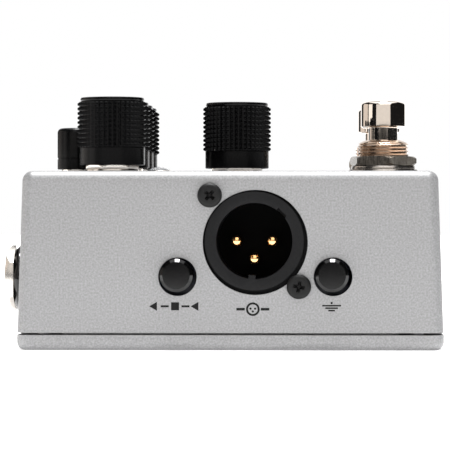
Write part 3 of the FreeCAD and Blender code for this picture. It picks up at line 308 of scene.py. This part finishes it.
def ink_disc(x, z, radius, corners=32, turn=0.0, hole=0.0):
    """A round or cornered spot of ink on the end panel, or a ring when it has a hole."""
    bpy.ops.mesh.primitive_cylinder_add(
        vertices=corners, radius=radius, depth=INK, location=(x, face_y - INK / 2.0, z),
        rotation=(math.pi / 2.0, turn, 0.0),
    )
    disc = bpy.context.object
    if hole:
        bpy.ops.object.mode_set(mode="EDIT")
        bpy.ops.mesh.select_mode(type="FACE")
        bpy.ops.mesh.select_all(action="DESELECT")
        mesh = bmesh.from_edit_mesh(disc.data)
        for face in mesh.faces:
            face.select = len(face.verts) > 4
        bmesh.update_edit_mesh(disc.data)
        bpy.ops.mesh.inset(thickness=radius - hole)
        bpy.ops.mesh.bridge_edge_loops()
        bpy.ops.object.mode_set(mode="OBJECT")
    bpy.ops.object.transform_apply(location=True, rotation=True, scale=True)
    return disc


def ink_mark(name, bits):
    """Joins the parts of one mark, which rides with the shell."""
    bpy.ops.object.select_all(action="DESELECT")
    for bit in bits:
        bit.select_set(True)
    bpy.context.view_layer.objects.active = bits[0]
    bpy.ops.object.join()
    belongs(bits[0], "enclosure_shell", black_ink, name)


LEFT_MARK_SHIFT = 0.3 * MM
RIGHT_MARK_SHIFT = 0.1 * MM
SOCKET_MARK_SHIFT = 0.3 * MM
cap_low, cap_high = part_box("push_cap_left")
left_x = (cap_low.x + cap_high.x) / 2.0 - LEFT_MARK_SHIFT
cap_low, cap_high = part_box("push_cap_right")
right_x = (cap_low.x + cap_high.x) / 2.0 - RIGHT_MARK_SHIFT
pins_low, pins_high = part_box("xlr_pins")
socket_x = (pins_low.x + pins_high.x) / 2.0 - SOCKET_MARK_SHIFT
SMALL_Z = 9.4 * MM
LARGE_Z = 8.8 * MM
LINE = 0.42 * MM

# Before and after a stage: a square with a dash and an arrowhead at each side.
STAGE = 1.7 * MM
ARROW_R = 1.1 * MM
ARROW_OUT = 4.4 * MM
DASH = 1.7 * MM
DASH_OUT = 2.2 * MM
bits = [ink_bar(left_x, SMALL_Z, STAGE, STAGE)]
for side in (-1, 1):
    bits.append(ink_disc(left_x + side * ARROW_OUT, SMALL_Z, ARROW_R, 3, math.radians(-90)))
    bits.append(ink_bar(left_x + side * DASH_OUT, SMALL_Z, DASH, LINE))
ink_mark("mark_stage", bits)

# A socket: a ring round three dots, on a line.
RING_R = 1.45 * MM
RING_HOLE_R = 1.02 * MM
DOT_R = 0.24 * MM
DOTS_MM = ((-0.48, 0.12), (0.48, 0.12), (0.0, -0.48))
WIRE = 1.8 * MM
WIRE_OUT = 2.6 * MM
WIRE_THICK = 0.55 * MM
bits = [ink_disc(socket_x, LARGE_Z, RING_R, 40, 0.0, RING_HOLE_R)]
for dx, dz in DOTS_MM:
    bits.append(ink_disc(socket_x + dx * MM, LARGE_Z + dz * MM, DOT_R, 16))
for side in (-1, 1):
    bits.append(ink_bar(socket_x + side * WIRE_OUT, LARGE_Z, WIRE, WIRE_THICK))
ink_mark("mark_socket", bits)

# A lifted ground: three bars that shorten downward, under a dot.
LIFT = 0.72 * MM
LIFT_WIDE = 0.40 * MM
LIFT_TALL = 0.45 * MM
GROUND_BARS_MM = (4.0, 2.7, 1.4)
GROUND_TOP = 0.15 * MM
GROUND_STEP = 0.52 * MM
GROUND_THICK = 0.32 * MM
bits = [ink_bar(right_x, SMALL_Z + LIFT, LIFT_WIDE, LIFT_TALL)]
for i, width in enumerate(GROUND_BARS_MM):
    bits.append(ink_bar(right_x, SMALL_Z + GROUND_TOP - i * GROUND_STEP, width * MM, GROUND_THICK))
ink_mark("mark_ground", bits)

# ==== Three-pin connector =================================================================
# A rear-mounted male connector: a moulded black nylon housing, whose round nose fills the
# panel hole, a black insert, and three gold-plated pins with rounded tips.
nylon = finish(
    "black_nylon", (0.0055, 0.0055, 0.006), roughness=0.60, grain_mm=0.25, grain_um=4.0,
    mottle=0.25, specular=0.16,
)
# The insert is black nylon; its colour is made darker still than the housing's, as painted shade of
# the deep bore.
shade_darkened_nylon = finish(
    "insert_nylon_painted_shade", (0.0015, 0.0015, 0.0015), roughness=0.7, grain_mm=0.25, grain_um=4.0,
    mottle=0.12, specular=0.05,
)
gold = finish(
    "gold_plate", (1.0, 0.58, 0.25), roughness=0.16, metallic=1.0, grain_mm=0.3, grain_um=0.6,
    mottle=0.04,
)
black_oxide = finish(
    "black_oxide", (0.006, 0.006, 0.006), roughness=0.50, grain_mm=0.2, grain_um=3.0, mottle=0.3,
    specular=0.20,
)
refined("xlr_housing", nylon, 0.12)
refined("xlr_insert", shade_darkened_nylon)
refined("xlr_pins", gold)


def circle_start(radius, z, corners, filled=True):
    """A flat circle at a height, open in edit mode with its edges selected."""
    bpy.ops.object.select_all(action="DESELECT")
    bpy.ops.mesh.primitive_circle_add(
        vertices=corners, radius=radius, location=(0, 0, 0),
        fill_type="NGON" if filled else "NOTHING",
    )
    piece = bpy.context.object
    bpy.ops.object.mode_set(mode="EDIT")
    bpy.ops.mesh.select_mode(type="EDGE")
    bpy.ops.mesh.select_all(action="SELECT")
    bpy.ops.transform.translate(value=(0, 0, z))
    return piece


def rise(factor, dz):
    """Extrudes the open edge ring upward by dz and scales it."""
    bpy.ops.mesh.extrude_edges_move(TRANSFORM_OT_translate={"value": (0.0, 0.0, dz)})
    if factor != 1.0:
        widen(factor)


def widen(factor):
    """Scales what is selected out from the upright axis."""
    bpy.ops.transform.resize(value=(factor, factor, 1.0), center_override=(0.0, 0.0, 0.0))


def settle(piece, x, y, angle):
    """Closes the mesh, turns its faces outward and moves it to its upright axis."""
    bpy.ops.mesh.select_all(action="SELECT")
    bpy.ops.mesh.remove_doubles(threshold=0.000001)
    bpy.ops.mesh.normals_make_consistent(inside=False)
    bpy.ops.transform.translate(value=(x, y, 0.0))
    bpy.ops.object.mode_set(mode="OBJECT")
    bpy.ops.object.shade_smooth_by_angle(angle=math.radians(angle))


def lathe(outline, x, y, corners=96, angle=35.0):
    """A closed turned piece from (radius, height) steps: first and last are capped flat."""
    radius, z = outline[0]
    piece = circle_start(radius, z, corners)
    for next_radius, next_z in outline[1:]:
        rise(next_radius / radius, next_z - z)
        radius, z = next_radius, next_z
    bpy.ops.mesh.edge_face_add()
    settle(piece, x, y, angle)
    return piece


def joined(pieces):
    """Makes one object of several like pieces."""
    bpy.ops.object.select_all(action="DESELECT")
    for piece in pieces:
        piece.select_set(True)
    bpy.context.view_layer.objects.active = pieces[0]
    if len(pieces) > 1:
        bpy.ops.object.join()
    return pieces[0]


def combined(piece, tool, operation, angle=35.0):
    """Cuts or trims a piece with a second closed shape, which is used up."""
    solo(piece)
    cut = piece.modifiers.new("cut", "BOOLEAN")
    cut.operation = operation
    cut.solver = "EXACT"
    cut.object = tool
    bpy.ops.object.modifier_apply(modifier="cut")
    bpy.data.objects.remove(tool)
    solo(piece)
    bpy.ops.object.shade_smooth_by_angle(angle=math.radians(angle))


CROSS_TAPER = 0.35


def cross_tool(arm, half_thick, depth):
    """A four-winged driver tip, full size at height zero and narrowing down to its depth."""
    wings = []
    for turn in (0.0, math.pi / 2.0):
        bpy.ops.object.select_all(action="DESELECT")
        bpy.ops.mesh.primitive_cube_add(size=2.0, location=(0, 0, 0), rotation=(0.0, 0.0, turn))
        wing = bpy.context.object
        wing.scale = (arm, half_thick, depth / 2.0)
        wing.location = (0.0, 0.0, 0.01 * MM - depth / 2.0)
        bpy.ops.object.transform_apply(location=True, rotation=True, scale=True)
        bpy.ops.object.mode_set(mode="EDIT")
        bpy.ops.mesh.select_mode(type="VERT")
        bpy.ops.mesh.select_all(action="DESELECT")
        mesh = bmesh.from_edit_mesh(wing.data)
        for corner in mesh.verts:
            corner.select = corner.co.z < -depth / 2.0
        mesh.select_flush_mode()
        bmesh.update_edit_mesh(wing.data)
        bpy.ops.transform.resize(
            value=(CROSS_TAPER, CROSS_TAPER, 1.0), center_override=(0.0, 0.0, 0.0)
        )
        bpy.ops.object.mode_set(mode="OBJECT")
        wings.append(wing)
    combined(wings[0], wings[1], "UNION")
    return wings[0]


# Two black pan-head screws hold the connector. Each is turned, then its cross is sunk.
screw_low, screw_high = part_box("xlr_screws")
SCREW_HEAD_R = 2.6 * MM
SCREW_HEAD = 1.5 * MM
SCREW_SHANK_R = 1.3 * MM
SCREW_TURNS_DEG = {-1: 40.0, 1: 12.0}
CROSS_ARM = 1.25 * MM
CROSS_HALF = 0.38 * MM
CROSS_DEEP = 1.05 * MM
# How far the rounded rim has come in from the head's edge, at each depth under its top.
HEAD_RIM_MM = ((0.0, 0.72), (0.10, 0.42), (0.32, 0.17), (0.62, 0.04), (0.90, 0.0))
screws = []
for side, turn in SCREW_TURNS_DEG.items():
    x = screw_low.x + SCREW_HEAD_R if side < 0 else screw_high.x - SCREW_HEAD_R
    z = screw_high.z - SCREW_HEAD_R if side < 0 else screw_low.z + SCREW_HEAD_R
    long = screw_high.y - screw_low.y
    outline = [
        (SCREW_SHANK_R, -long), (SCREW_SHANK_R, -SCREW_HEAD), (SCREW_HEAD_R, -SCREW_HEAD),
    ]
    outline += [(SCREW_HEAD_R - inward * MM, -deep * MM) for inward, deep in HEAD_RIM_MM]
    screw = lathe(outline, 0.0, 0.0, 64)
    combined(screw, cross_tool(CROSS_ARM, CROSS_HALF, CROSS_DEEP), "DIFFERENCE")
    solo(screw)
    screw.rotation_euler = (math.pi / 2.0, math.radians(turn), 0.0)
    screw.location = (x, screw_low.y, z)
    bpy.ops.object.transform_apply(location=True, rotation=True, scale=True)
    screws.append(screw)
screw_pair = joined(screws)
belongs(screw_pair, "xlr_screws", black_oxide)
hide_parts("xlr_screws")

# ==== Push buttons ========================================================================
# Two glossy black moulded caps, pressed onto the plungers of latching switches that stand on
# the main board behind the panel.
gloss_black = finish(
    "glossy_black", (0.0015, 0.0015, 0.0015), roughness=0.08, grain_mm=0.6, grain_um=0.5,
    mottle=0.1, specular=0.4, wear=0.02,
)
switch_plastic = finish(
    "switch_plastic", (0.03, 0.035, 0.06), roughness=0.4, grain_mm=0.3, grain_um=2.0, mottle=0.1,
)
for side in ("left", "right"):
    refined("push_cap_" + side, gloss_black)
    refined("push_plunger_" + side, switch_plastic)
refined("push_switches", switch_plastic, 0.1)

# ==== Large knurled knobs =================================================================
# Moulded black knobs, pushed onto the pot shafts: a plain skirt below, a grip of small square
# teeth in rings above it, and a rounded cap ring with a white line let into its top.
knob_black = finish(
    "knob_black", (0.0018, 0.0018, 0.002), roughness=0.24, grain_mm=0.35, grain_um=2.0, mottle=0.3,
    specular=0.14,
)
pointer_white = finish(
    "pointer_white", (0.80, 0.80, 0.78), roughness=0.4, grain_mm=0.3, grain_um=1.0, mottle=0.04,
)
TEETH_ROUND = 44
TOOTH_SHARE = 0.25
TOOTH_DEEP = 0.42 * MM
GRIP_RINGS = 10
# Where a ring of teeth begins, is level, ends, and where the groove over it starts.
RING_OUT, RING_LEVEL, RING_IN, RING_GROOVE = 0.32, 0.70, 0.98, 1.05
SKIRT_R = 7.125 * MM
SKIRT_TALL = 3.85 * MM
SKIRT_EDGE = 0.10 * MM
CAP_RING_R = 6.95 * MM
CAP_RING_TALL = 1.0 * MM
DISH_R = 5.95 * MM
DISH_DEEP = 0.12 * MM
SHAFT_HOLE_R = 3.05 * MM
SHAFT_HOLE_UNDER_TOP = 3.0 * MM
HOLLOW_R = 6.2 * MM
HOLLOW_DEEP = 2.4 * MM


def teeth_only(piece, share):
    """Selects the corners of the open ring that stand out as teeth."""
    bpy.ops.mesh.select_mode(type="VERT")
    mesh = bmesh.from_edit_mesh(piece.data)
    step = 2.0 * math.pi / TEETH_ROUND
    for corner in mesh.verts:
        if corner.select:
            turn = (math.atan2(corner.co.y, corner.co.x) / step + 0.5) % 1.0
            corner.select = abs(turn - 0.5) < share
    mesh.select_flush_mode()
    bmesh.update_edit_mesh(piece.data)


def ring_again(piece, z):
    """Selects the whole open ring at a height once more."""
    bpy.ops.mesh.select_all(action="DESELECT")
    mesh = bmesh.from_edit_mesh(piece.data)
    for corner in mesh.verts:
        corner.select = abs(corner.co.z - z) < 1e-7
    mesh.select_flush_mode()
    bmesh.update_edit_mesh(piece.data)
    bpy.ops.mesh.select_mode(type="EDGE")


def knurled_knob(node):
    """Shaft hole, hollow skirt, rings of teeth and the cap ring, risen as one closed skin."""
    low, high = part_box(node)
    x = (low.x + high.x) / 2.0
    y = (low.y + high.y) / 2.0
    tip = (high.x - low.x) / 2.0
    root = tip - TOOTH_DEEP
    skirt_top = low.z + SKIRT_TALL
    grip_top = high.z - CAP_RING_TALL
    pitch = (grip_top - skirt_top) / GRIP_RINGS
    radius, z = SHAFT_HOLE_R, high.z - SHAFT_HOLE_UNDER_TOP
    piece = circle_start(radius, z, TEETH_ROUND * 3)
    steps = [
        (SHAFT_HOLE_R, low.z + HOLLOW_DEEP), (HOLLOW_R, low.z + HOLLOW_DEEP), (HOLLOW_R, low.z),
        (SKIRT_R - 1.5 * SKIRT_EDGE, low.z), (SKIRT_R, low.z + 1.5 * SKIRT_EDGE),
        (SKIRT_R, skirt_top - SKIRT_EDGE), (SKIRT_R - SKIRT_EDGE, skirt_top),
        (root - SKIRT_EDGE, skirt_top), (root, skirt_top + (RING_GROOVE - 1.0) * pitch),
    ]
    for ring in range(GRIP_RINGS):
        base = skirt_top + ring * pitch
        steps += [
            ("out", base + RING_OUT * pitch), ("hold", base + RING_LEVEL * pitch),
            ("in", base + RING_IN * pitch), (root, base + RING_GROOVE * pitch),
        ]
    cap = CAP_RING_R
    steps += [
        (cap - 0.28 * MM, grip_top + 0.02 * MM), (cap - 0.08 * MM, grip_top + 0.14 * MM),
        (cap, grip_top + 0.34 * MM), (cap, high.z - 0.34 * MM),
        (cap - 0.10 * MM, high.z - 0.10 * MM), (cap - 0.34 * MM, high.z),
        (DISH_R + 0.08 * MM, high.z), (DISH_R, high.z - DISH_DEEP),
        (0.4 * DISH_R, high.z - DISH_DEEP),
    ]
    for step, next_z in steps:
        if step == "out":
            rise(1.0, next_z - z)
            teeth_only(piece, TOOTH_SHARE)
            widen(tip / radius)
            ring_again(piece, next_z)
        elif step == "hold":
            rise(1.0, next_z - z)
        elif step == "in":
            rise(1.0, next_z - z)
            teeth_only(piece, TOOTH_SHARE)
            widen(radius / tip)
            ring_again(piece, next_z)
        else:
            rise(step / radius, next_z - z)
            radius = step
        z = next_z
    bpy.ops.mesh.edge_face_add()
    settle(piece, x, y, 30.0)
    belongs(piece, node, knob_black)
    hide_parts(node)


places = [node[5:] for node in frame["nodes"] if node.startswith("knob_") and "pointer" not in node]
for place in places:
    knurled_knob("knob_" + place)
    refined("knob_pointer_" + place, pointer_white, 0.05)

# ==== Small knob ==========================================================================
# A plain round cap, moulded in the same black, with a shallow seam low down and a rounded
# top edge. It is pushed onto a thin shaft beside the large knobs.
low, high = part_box("small_knob")
small_r = (high.x - low.x) / 2.0
SMALL_HOLE_R = 1.65 * MM
SMALL_HOLE_UNDER_TOP = 2.0 * MM
SMALL_HOLLOW_R = 3.5 * MM
SEAM_UP = 2.3 * MM
SEAM_DEEP = 0.22 * MM
# How far the rounded top edge has come in from the side, at each depth under the top.
SMALL_ROUND_MM = ((0.0, 1.0), (0.08, 0.62), (0.29, 0.29), (0.62, 0.08), (1.0, 0.0))
seam = low.z + SEAM_UP
outline = [
    (SMALL_HOLE_R, high.z - SMALL_HOLE_UNDER_TOP), (SMALL_HOLE_R, seam), (SMALL_HOLLOW_R, seam),
    (SMALL_HOLLOW_R, low.z), (small_r - 0.1 * MM, low.z), (small_r, low.z + 0.1 * MM),
    (small_r, seam - 0.08 * MM), (small_r - SEAM_DEEP, seam),
    (small_r - SEAM_DEEP, seam + 0.12 * MM), (small_r, seam + 0.22 * MM),
]
outline += [(small_r - inward * MM, high.z - deep * MM) for inward, deep in SMALL_ROUND_MM]
small_knob = lathe(outline, (low.x + high.x) / 2.0, (low.y + high.y) / 2.0)
belongs(small_knob, "small_knob", knob_black)
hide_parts("small_knob")

# ==== Pot hardware ========================================================================
# Zinc-plated shafts and cases, and nickel-plated washers and hex nuts, hold the pots to the top of
# the box.
# Only the nearest knob stands high enough to show its nut.
nickel = finish(
    "nickel_plate", (0.78, 0.74, 0.69), roughness=0.16, metallic=1.0, grain_mm=0.5, grain_um=1.0,
    mottle=0.05,
)
for node in ("pot_nuts", "pot_washers", "small_pot_nut"):
    refined(node, nickel, 0.06)
for node in ("pot_cases", "small_pot_case"):
    refined(node, zinc, 0.08)
for place in places:
    refined("pot_shaft_" + place, zinc)
refined("small_pot_shaft", zinc)

# ==== Indicator light =====================================================================
# A clear moulded lens, five millimetres across, of the light emitting diode on the control
# board. It stands in a low turned bezel of nickel plate that is pressed into the top.
clear_lens = finish(
    "clear_lens", (0.92, 0.93, 0.95), roughness=0.05, grain_mm=0.8, grain_um=0.3, mottle=0.02,
    coat=0.5,
)
lens_shader = clear_lens.node_tree.nodes["Principled BSDF"]
lens_shader.inputs["Transmission Weight"].default_value = 0.75
lens_shader.inputs["IOR"].default_value = 1.5
refined("led_lens", clear_lens)
refined("led_bezel", nickel, 0.05)

# ==== Foot switches =======================================================================
# Heavy latching switches: a chrome-plated button on a stem, in a threaded nickel bushing that
# a hex nut, a lock washer and a dress washer clamp to the top of the box.
chrome = finish(
    "polished_chrome", (0.86, 0.78, 0.70), roughness=0.05, metallic=1.0, grain_mm=0.7, grain_um=0.5,
    mottle=0.03,
)
thread_nickel = finish(
    "thread_nickel", (0.56, 0.44, 0.35), roughness=0.20, metallic=1.0, grain_mm=0.3, grain_um=1.5,
    mottle=0.12,
)
# The foot nuts' nickel has a real upright brushed grain; its base colour is made far darker than
# plain nickel as painted shade, for the dark surroundings their flats reflect.
brushed_with_painted_shade = finish(
    "brushed_nickel_painted_shade", (0.21, 0.19, 0.165), roughness=0.20, metallic=1.0, grain_mm=0.20,
    grain_um=9.0, mottle=0.6, streak=(1.0, 1.0, 0.12),
)
washer_steel = finish(
    "washer_steel", (0.52, 0.48, 0.44), roughness=0.24, metallic=1.0, grain_mm=0.3, grain_um=3.0,
    mottle=0.15,
)
button_low, button_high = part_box("foot_button_front")
switch_x = (button_low.x + button_high.x) / 2.0
cap_r = (button_high.x - button_low.x) / 2.0
STEM_R = 3.35 * MM
COLLAR_R = 4.4 * MM
COLLAR_TALL = 1.5 * MM
COLLAR_EDGE = 0.1 * MM
CAP_TALL = 6.45 * MM
CAP_EDGE = 0.34 * MM
CROWN_TALL = 1.25 * MM
# How far the crown has come in from the cap's side, at each height over its foot.
CROWN_MM = (
    (0.0, 0.0), (0.05, 0.25), (0.22, 0.49), (0.50, 0.69), (1.0, 0.86), (1.7, 1.02),
    (2.6, 1.15), (3.6, 1.22), (4.5, 1.25),
)
THREAD_PITCH = 0.78 * MM
THREAD_DEEP = 0.40 * MM
# The tooth's outline: up the lower flank, over the crest, down the upper flank, and the root.
THREAD_STEPS = ((THREAD_DEEP, 0.42), (0.0, 0.12), (-THREAD_DEEP, 0.42), (0.0, 0.04))
THREAD_SIDES = 72
FLAT_TOLERANCE = 1e-7
switch_rows = []


def tube(outline, x, y, corners=96, angle=35.0):
    """A closed turned ring: its outline runs up the outside, and the bore joins its two ends."""
    radius, z = outline[0]
    piece = circle_start(radius, z, corners, filled=False)
    for next_radius, next_z in outline[1:]:
        rise(next_radius / radius, next_z - z)
        radius, z = next_radius, next_z
    bpy.ops.mesh.select_all(action="DESELECT")
    bpy.ops.mesh.select_non_manifold()
    bpy.ops.mesh.bridge_edge_loops()
    settle(piece, x, y, angle)
    return piece


def threaded_rod(x, y, crest, z0, z1):
    """A solid rod with a real helical thread: one tooth, swept up and cut level at both ends."""
    root = crest - THREAD_DEEP
    bpy.ops.object.select_all(action="DESELECT")
    bpy.ops.mesh.primitive_plane_add(size=1.0, location=(0.0, 0.0, 0.0))
    tooth = bpy.context.object
    bpy.ops.object.mode_set(mode="EDIT")
    bpy.ops.mesh.select_mode(type="VERT")
    bpy.ops.mesh.select_all(action="SELECT")
    bpy.ops.mesh.merge(type="CENTER")
    z = z0 - 1.5 * THREAD_PITCH
    bpy.ops.transform.translate(value=(root, 0.0, z))
    for out, up in THREAD_STEPS:
        step = (out, 0.0, up * THREAD_PITCH)
        bpy.ops.mesh.extrude_vertices_move(TRANSFORM_OT_translate={"value": step})
    bpy.ops.object.mode_set(mode="OBJECT")
    sweep = tooth.modifiers.new("sweep", "SCREW")
    sweep.axis = "Z"
    sweep.screw_offset = THREAD_PITCH
    sweep.iterations = int((z1 - z0) / THREAD_PITCH) + 4
    sweep.steps = THREAD_SIDES
    sweep.render_steps = THREAD_SIDES
    sweep.use_merge_vertices = True
    sweep.merge_threshold = WELD
    bpy.ops.object.modifier_apply(modifier="sweep")
    bpy.ops.object.mode_set(mode="EDIT")
    bpy.ops.mesh.select_all(action="SELECT")
    bpy.ops.mesh.remove_doubles(threshold=WELD)
    for level, below in ((z0, True), (z1, False)):
        bpy.ops.mesh.select_all(action="SELECT")
        bpy.ops.mesh.bisect(
            plane_co=(0, 0, level), plane_no=(0, 0, 1), use_fill=True,
            clear_inner=below, clear_outer=not below, threshold=FLAT_TOLERANCE,
        )
    settle(tooth, x, y, 30.0)
    return tooth


def switch_button(place):
    """Stem with its stop collar below, and a cap with a bevelled foot and a shallow crown."""
    low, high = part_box("foot_button_" + place)
    y = (low.y + high.y) / 2.0
    foot = high.z - CAP_TALL
    crown = high.z - CROWN_TALL
    outline = [
        (COLLAR_R - COLLAR_EDGE, low.z), (COLLAR_R, low.z + COLLAR_EDGE),
        (COLLAR_R, low.z + COLLAR_TALL - COLLAR_EDGE),
        (COLLAR_R - COLLAR_EDGE, low.z + COLLAR_TALL), (STEM_R, low.z + COLLAR_TALL),
        (STEM_R, foot), (cap_r - 0.42 * MM, foot), (cap_r - 0.30 * MM, foot + 0.04 * MM),
        (cap_r, foot + CAP_EDGE),
    ]
    outline += [(cap_r - inward * MM, crown + up * MM) for inward, up in CROWN_MM]
    button = lathe(outline, switch_x, y, 128, 32.0)
    belongs(button, "foot_button_" + place, chrome)
    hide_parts("foot_button_" + place)
    return y


for place in ("front", "rear"):
    switch_rows.append(switch_button(place))

bushing_low, bushing_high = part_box("foot_bushings")
flange_r = (bushing_high.x - bushing_low.x) / 2.0
CREST_R = 5.9 * MM
BUSHING_FLANGE = 1.2 * MM
STEM_PLAY = 0.08 * MM
bore = STEM_R + STEM_PLAY
# How far the rounded end has come in from the crest, at each depth under the bushing's top.
END_ROUND_MM = ((0.15, 0.95), (0.50, 0.62), (1.30, 0.22))
bushings = []
for y in switch_rows:
    ceiling = bushing_low.z + BUSHING_FLANGE
    top = bushing_high.z
    rod = threaded_rod(switch_x, y, CREST_R, bushing_low.z + 0.3 * MM, top)
    outside = CREST_R + 0.4 * MM
    outline = [(bore, bushing_low.z), (outside, bushing_low.z), (outside, top - 1.3 * MM)]
    outline += [(CREST_R - inward * MM, top - deep * MM) for inward, deep in END_ROUND_MM]
    outline += [(STEM_R + 0.45 * MM, top), (bore, top)]
    envelope = tube(outline, switch_x, y, 120)
    combined(rod, envelope, "INTERSECT", 28.0)
    flange = tube(
        [(bore, bushing_low.z), (flange_r, bushing_low.z), (flange_r, ceiling), (bore, ceiling)],
        switch_x, y, 96,
    )
    bushings += [rod, flange]
bushing_pair = joined(bushings)
belongs(bushing_pair, "foot_bushings", thread_nickel)
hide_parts("foot_bushings")

nut_low, nut_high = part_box("foot_nuts")
NUT_FLATS = 14.0 * MM
NUT_TURNS_DEG = (40.7, 24.5)
THREAD_PLAY = 0.12 * MM
# How far a corner's bevel has come in, at each depth from the nut's top or foot.
NUT_BEVEL_MM = ((1.0, 0.0), (0.72, 0.10), (-0.1, 0.62))
nut_corner = NUT_FLATS / math.sqrt(3.0)
hole = CREST_R + THREAD_PLAY
nuts = []
for y, turn in zip(switch_rows, NUT_TURNS_DEG):
    tall = nut_high.z - nut_low.z
    bpy.ops.object.select_all(action="DESELECT")
    bpy.ops.mesh.primitive_cylinder_add(
        vertices=6, radius=nut_corner, depth=tall, location=(switch_x, y, nut_low.z + tall / 2.0),
        rotation=(0.0, 0.0, math.radians(turn + 90.0)),
    )
    nut = bpy.context.object
    bpy.ops.object.transform_apply(location=True, rotation=True, scale=True)
    below = [(nut_corner - inward * MM, nut_low.z + up * MM) for inward, up in NUT_BEVEL_MM]
    above = [(nut_corner - inward * MM, nut_high.z - up * MM) for inward, up in NUT_BEVEL_MM]
    inside_edge = hole + 0.25 * MM
    envelope = tube(
        [(inside_edge, nut_low.z)] + below + above[::-1] + [(inside_edge, nut_high.z)],
        switch_x, y, 144,
    )
    combined(nut, envelope, "INTERSECT", 12.0)
    nuts.append(nut)
nut_pair = joined(nuts)
belongs(nut_pair, "foot_nuts", brushed_with_painted_shade)
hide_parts("foot_nuts")

WASHER_EDGES_MM = {"foot_lock_washers": 0.30, "foot_dress_washers": 0.16}
for node, edge_mm in WASHER_EDGES_MM.items():
    washer_low, washer_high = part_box(node)
    outer = (washer_high.x - washer_low.x) / 2.0
    base = washer_low.z
    top = washer_high.z
    edge = edge_mm * MM
    outline = [
        (hole, base), (outer - edge, base), (outer, base + 0.35 * edge), (outer, top - edge),
        (outer - 0.3 * edge, top - 0.35 * edge), (outer - 1.2 * edge, top), (hole, top),
    ]
    washer_pair = joined([tube(outline, switch_x, y, 120, 25.0) for y in switch_rows])
    belongs(washer_pair, node, washer_steel)
    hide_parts(node)

# Each button bears on a coiled spring of steel wire, and each spring is given a mesh of its own.
spring_wire = finish(
    "spring_wire", (0.55, 0.55, 0.56), roughness=0.25, metallic=1.0, grain_mm=0.3, grain_um=2.0,
    mottle=0.08,
)
for place, y in zip(("front", "rear"), switch_rows):
    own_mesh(refined("foot_spring_" + place, spring_wire))

# ==== Quarter-inch jacks ==================================================================
# Two sockets in the left wall. Each has a nickel-plated bushing, passed out through the wall
# and held by a thick bevelled washer of black plastic and a hex nut.
for node in ("jack_nuts", "jack_bushings"):
    refined(node, nickel, 0.1)
refined("jack_washers", gloss_black, 0.1)

# ==== Power socket ========================================================================
# A moulded black coaxial socket with a plated centre pin. It is pressed into the far end
# wall from inside, and its face is flush with the paint.
moulded_black = finish(
    "moulded_black", (0.018, 0.018, 0.018), roughness=0.45, grain_mm=0.3, grain_um=3.0, mottle=0.12,
)
refined("dc_socket_body", moulded_black, 0.08)
refined("dc_socket_pin", nickel)

# ==== Inside of the box ===================================================================
# Two glass-fibre boards with green solder mask, their parts, the switch and jack bodies, the
# battery with its snap and foam, and the hook-up leads.
solder_mask = finish(
    "solder_mask", (0.02, 0.13, 0.05), roughness=0.3, grain_mm=1.2, grain_um=3.0, mottle=0.2,
)
battery_wrap = finish(
    "battery_wrap", (0.05, 0.05, 0.055), roughness=0.3, metallic=0.4, grain_mm=0.5, grain_um=2.0,
    mottle=0.1,
)
foam = finish(
    "grey_foam", (0.10, 0.10, 0.10), roughness=0.95, grain_mm=0.8, grain_um=120.0, mottle=0.5,
)
black_sleeve = finish(
    "black_sleeve", (0.015, 0.015, 0.015), roughness=0.4, grain_mm=0.5, grain_um=3.0, mottle=0.1,
)
inside = {
    "main_board": solder_mask, "pot_board": solder_mask, "board_parts": moulded_black,
    "jack_bodies": moulded_black, "battery_snap": moulded_black,
    "foot_switch_bodies": switch_plastic, "foot_switch_lugs": zinc, "jack_contacts": spring_wire,
    "battery": battery_wrap, "battery_foam": foam, "hookup_leads": black_sleeve,
}
for node, material in inside.items():
    refined(node, material)
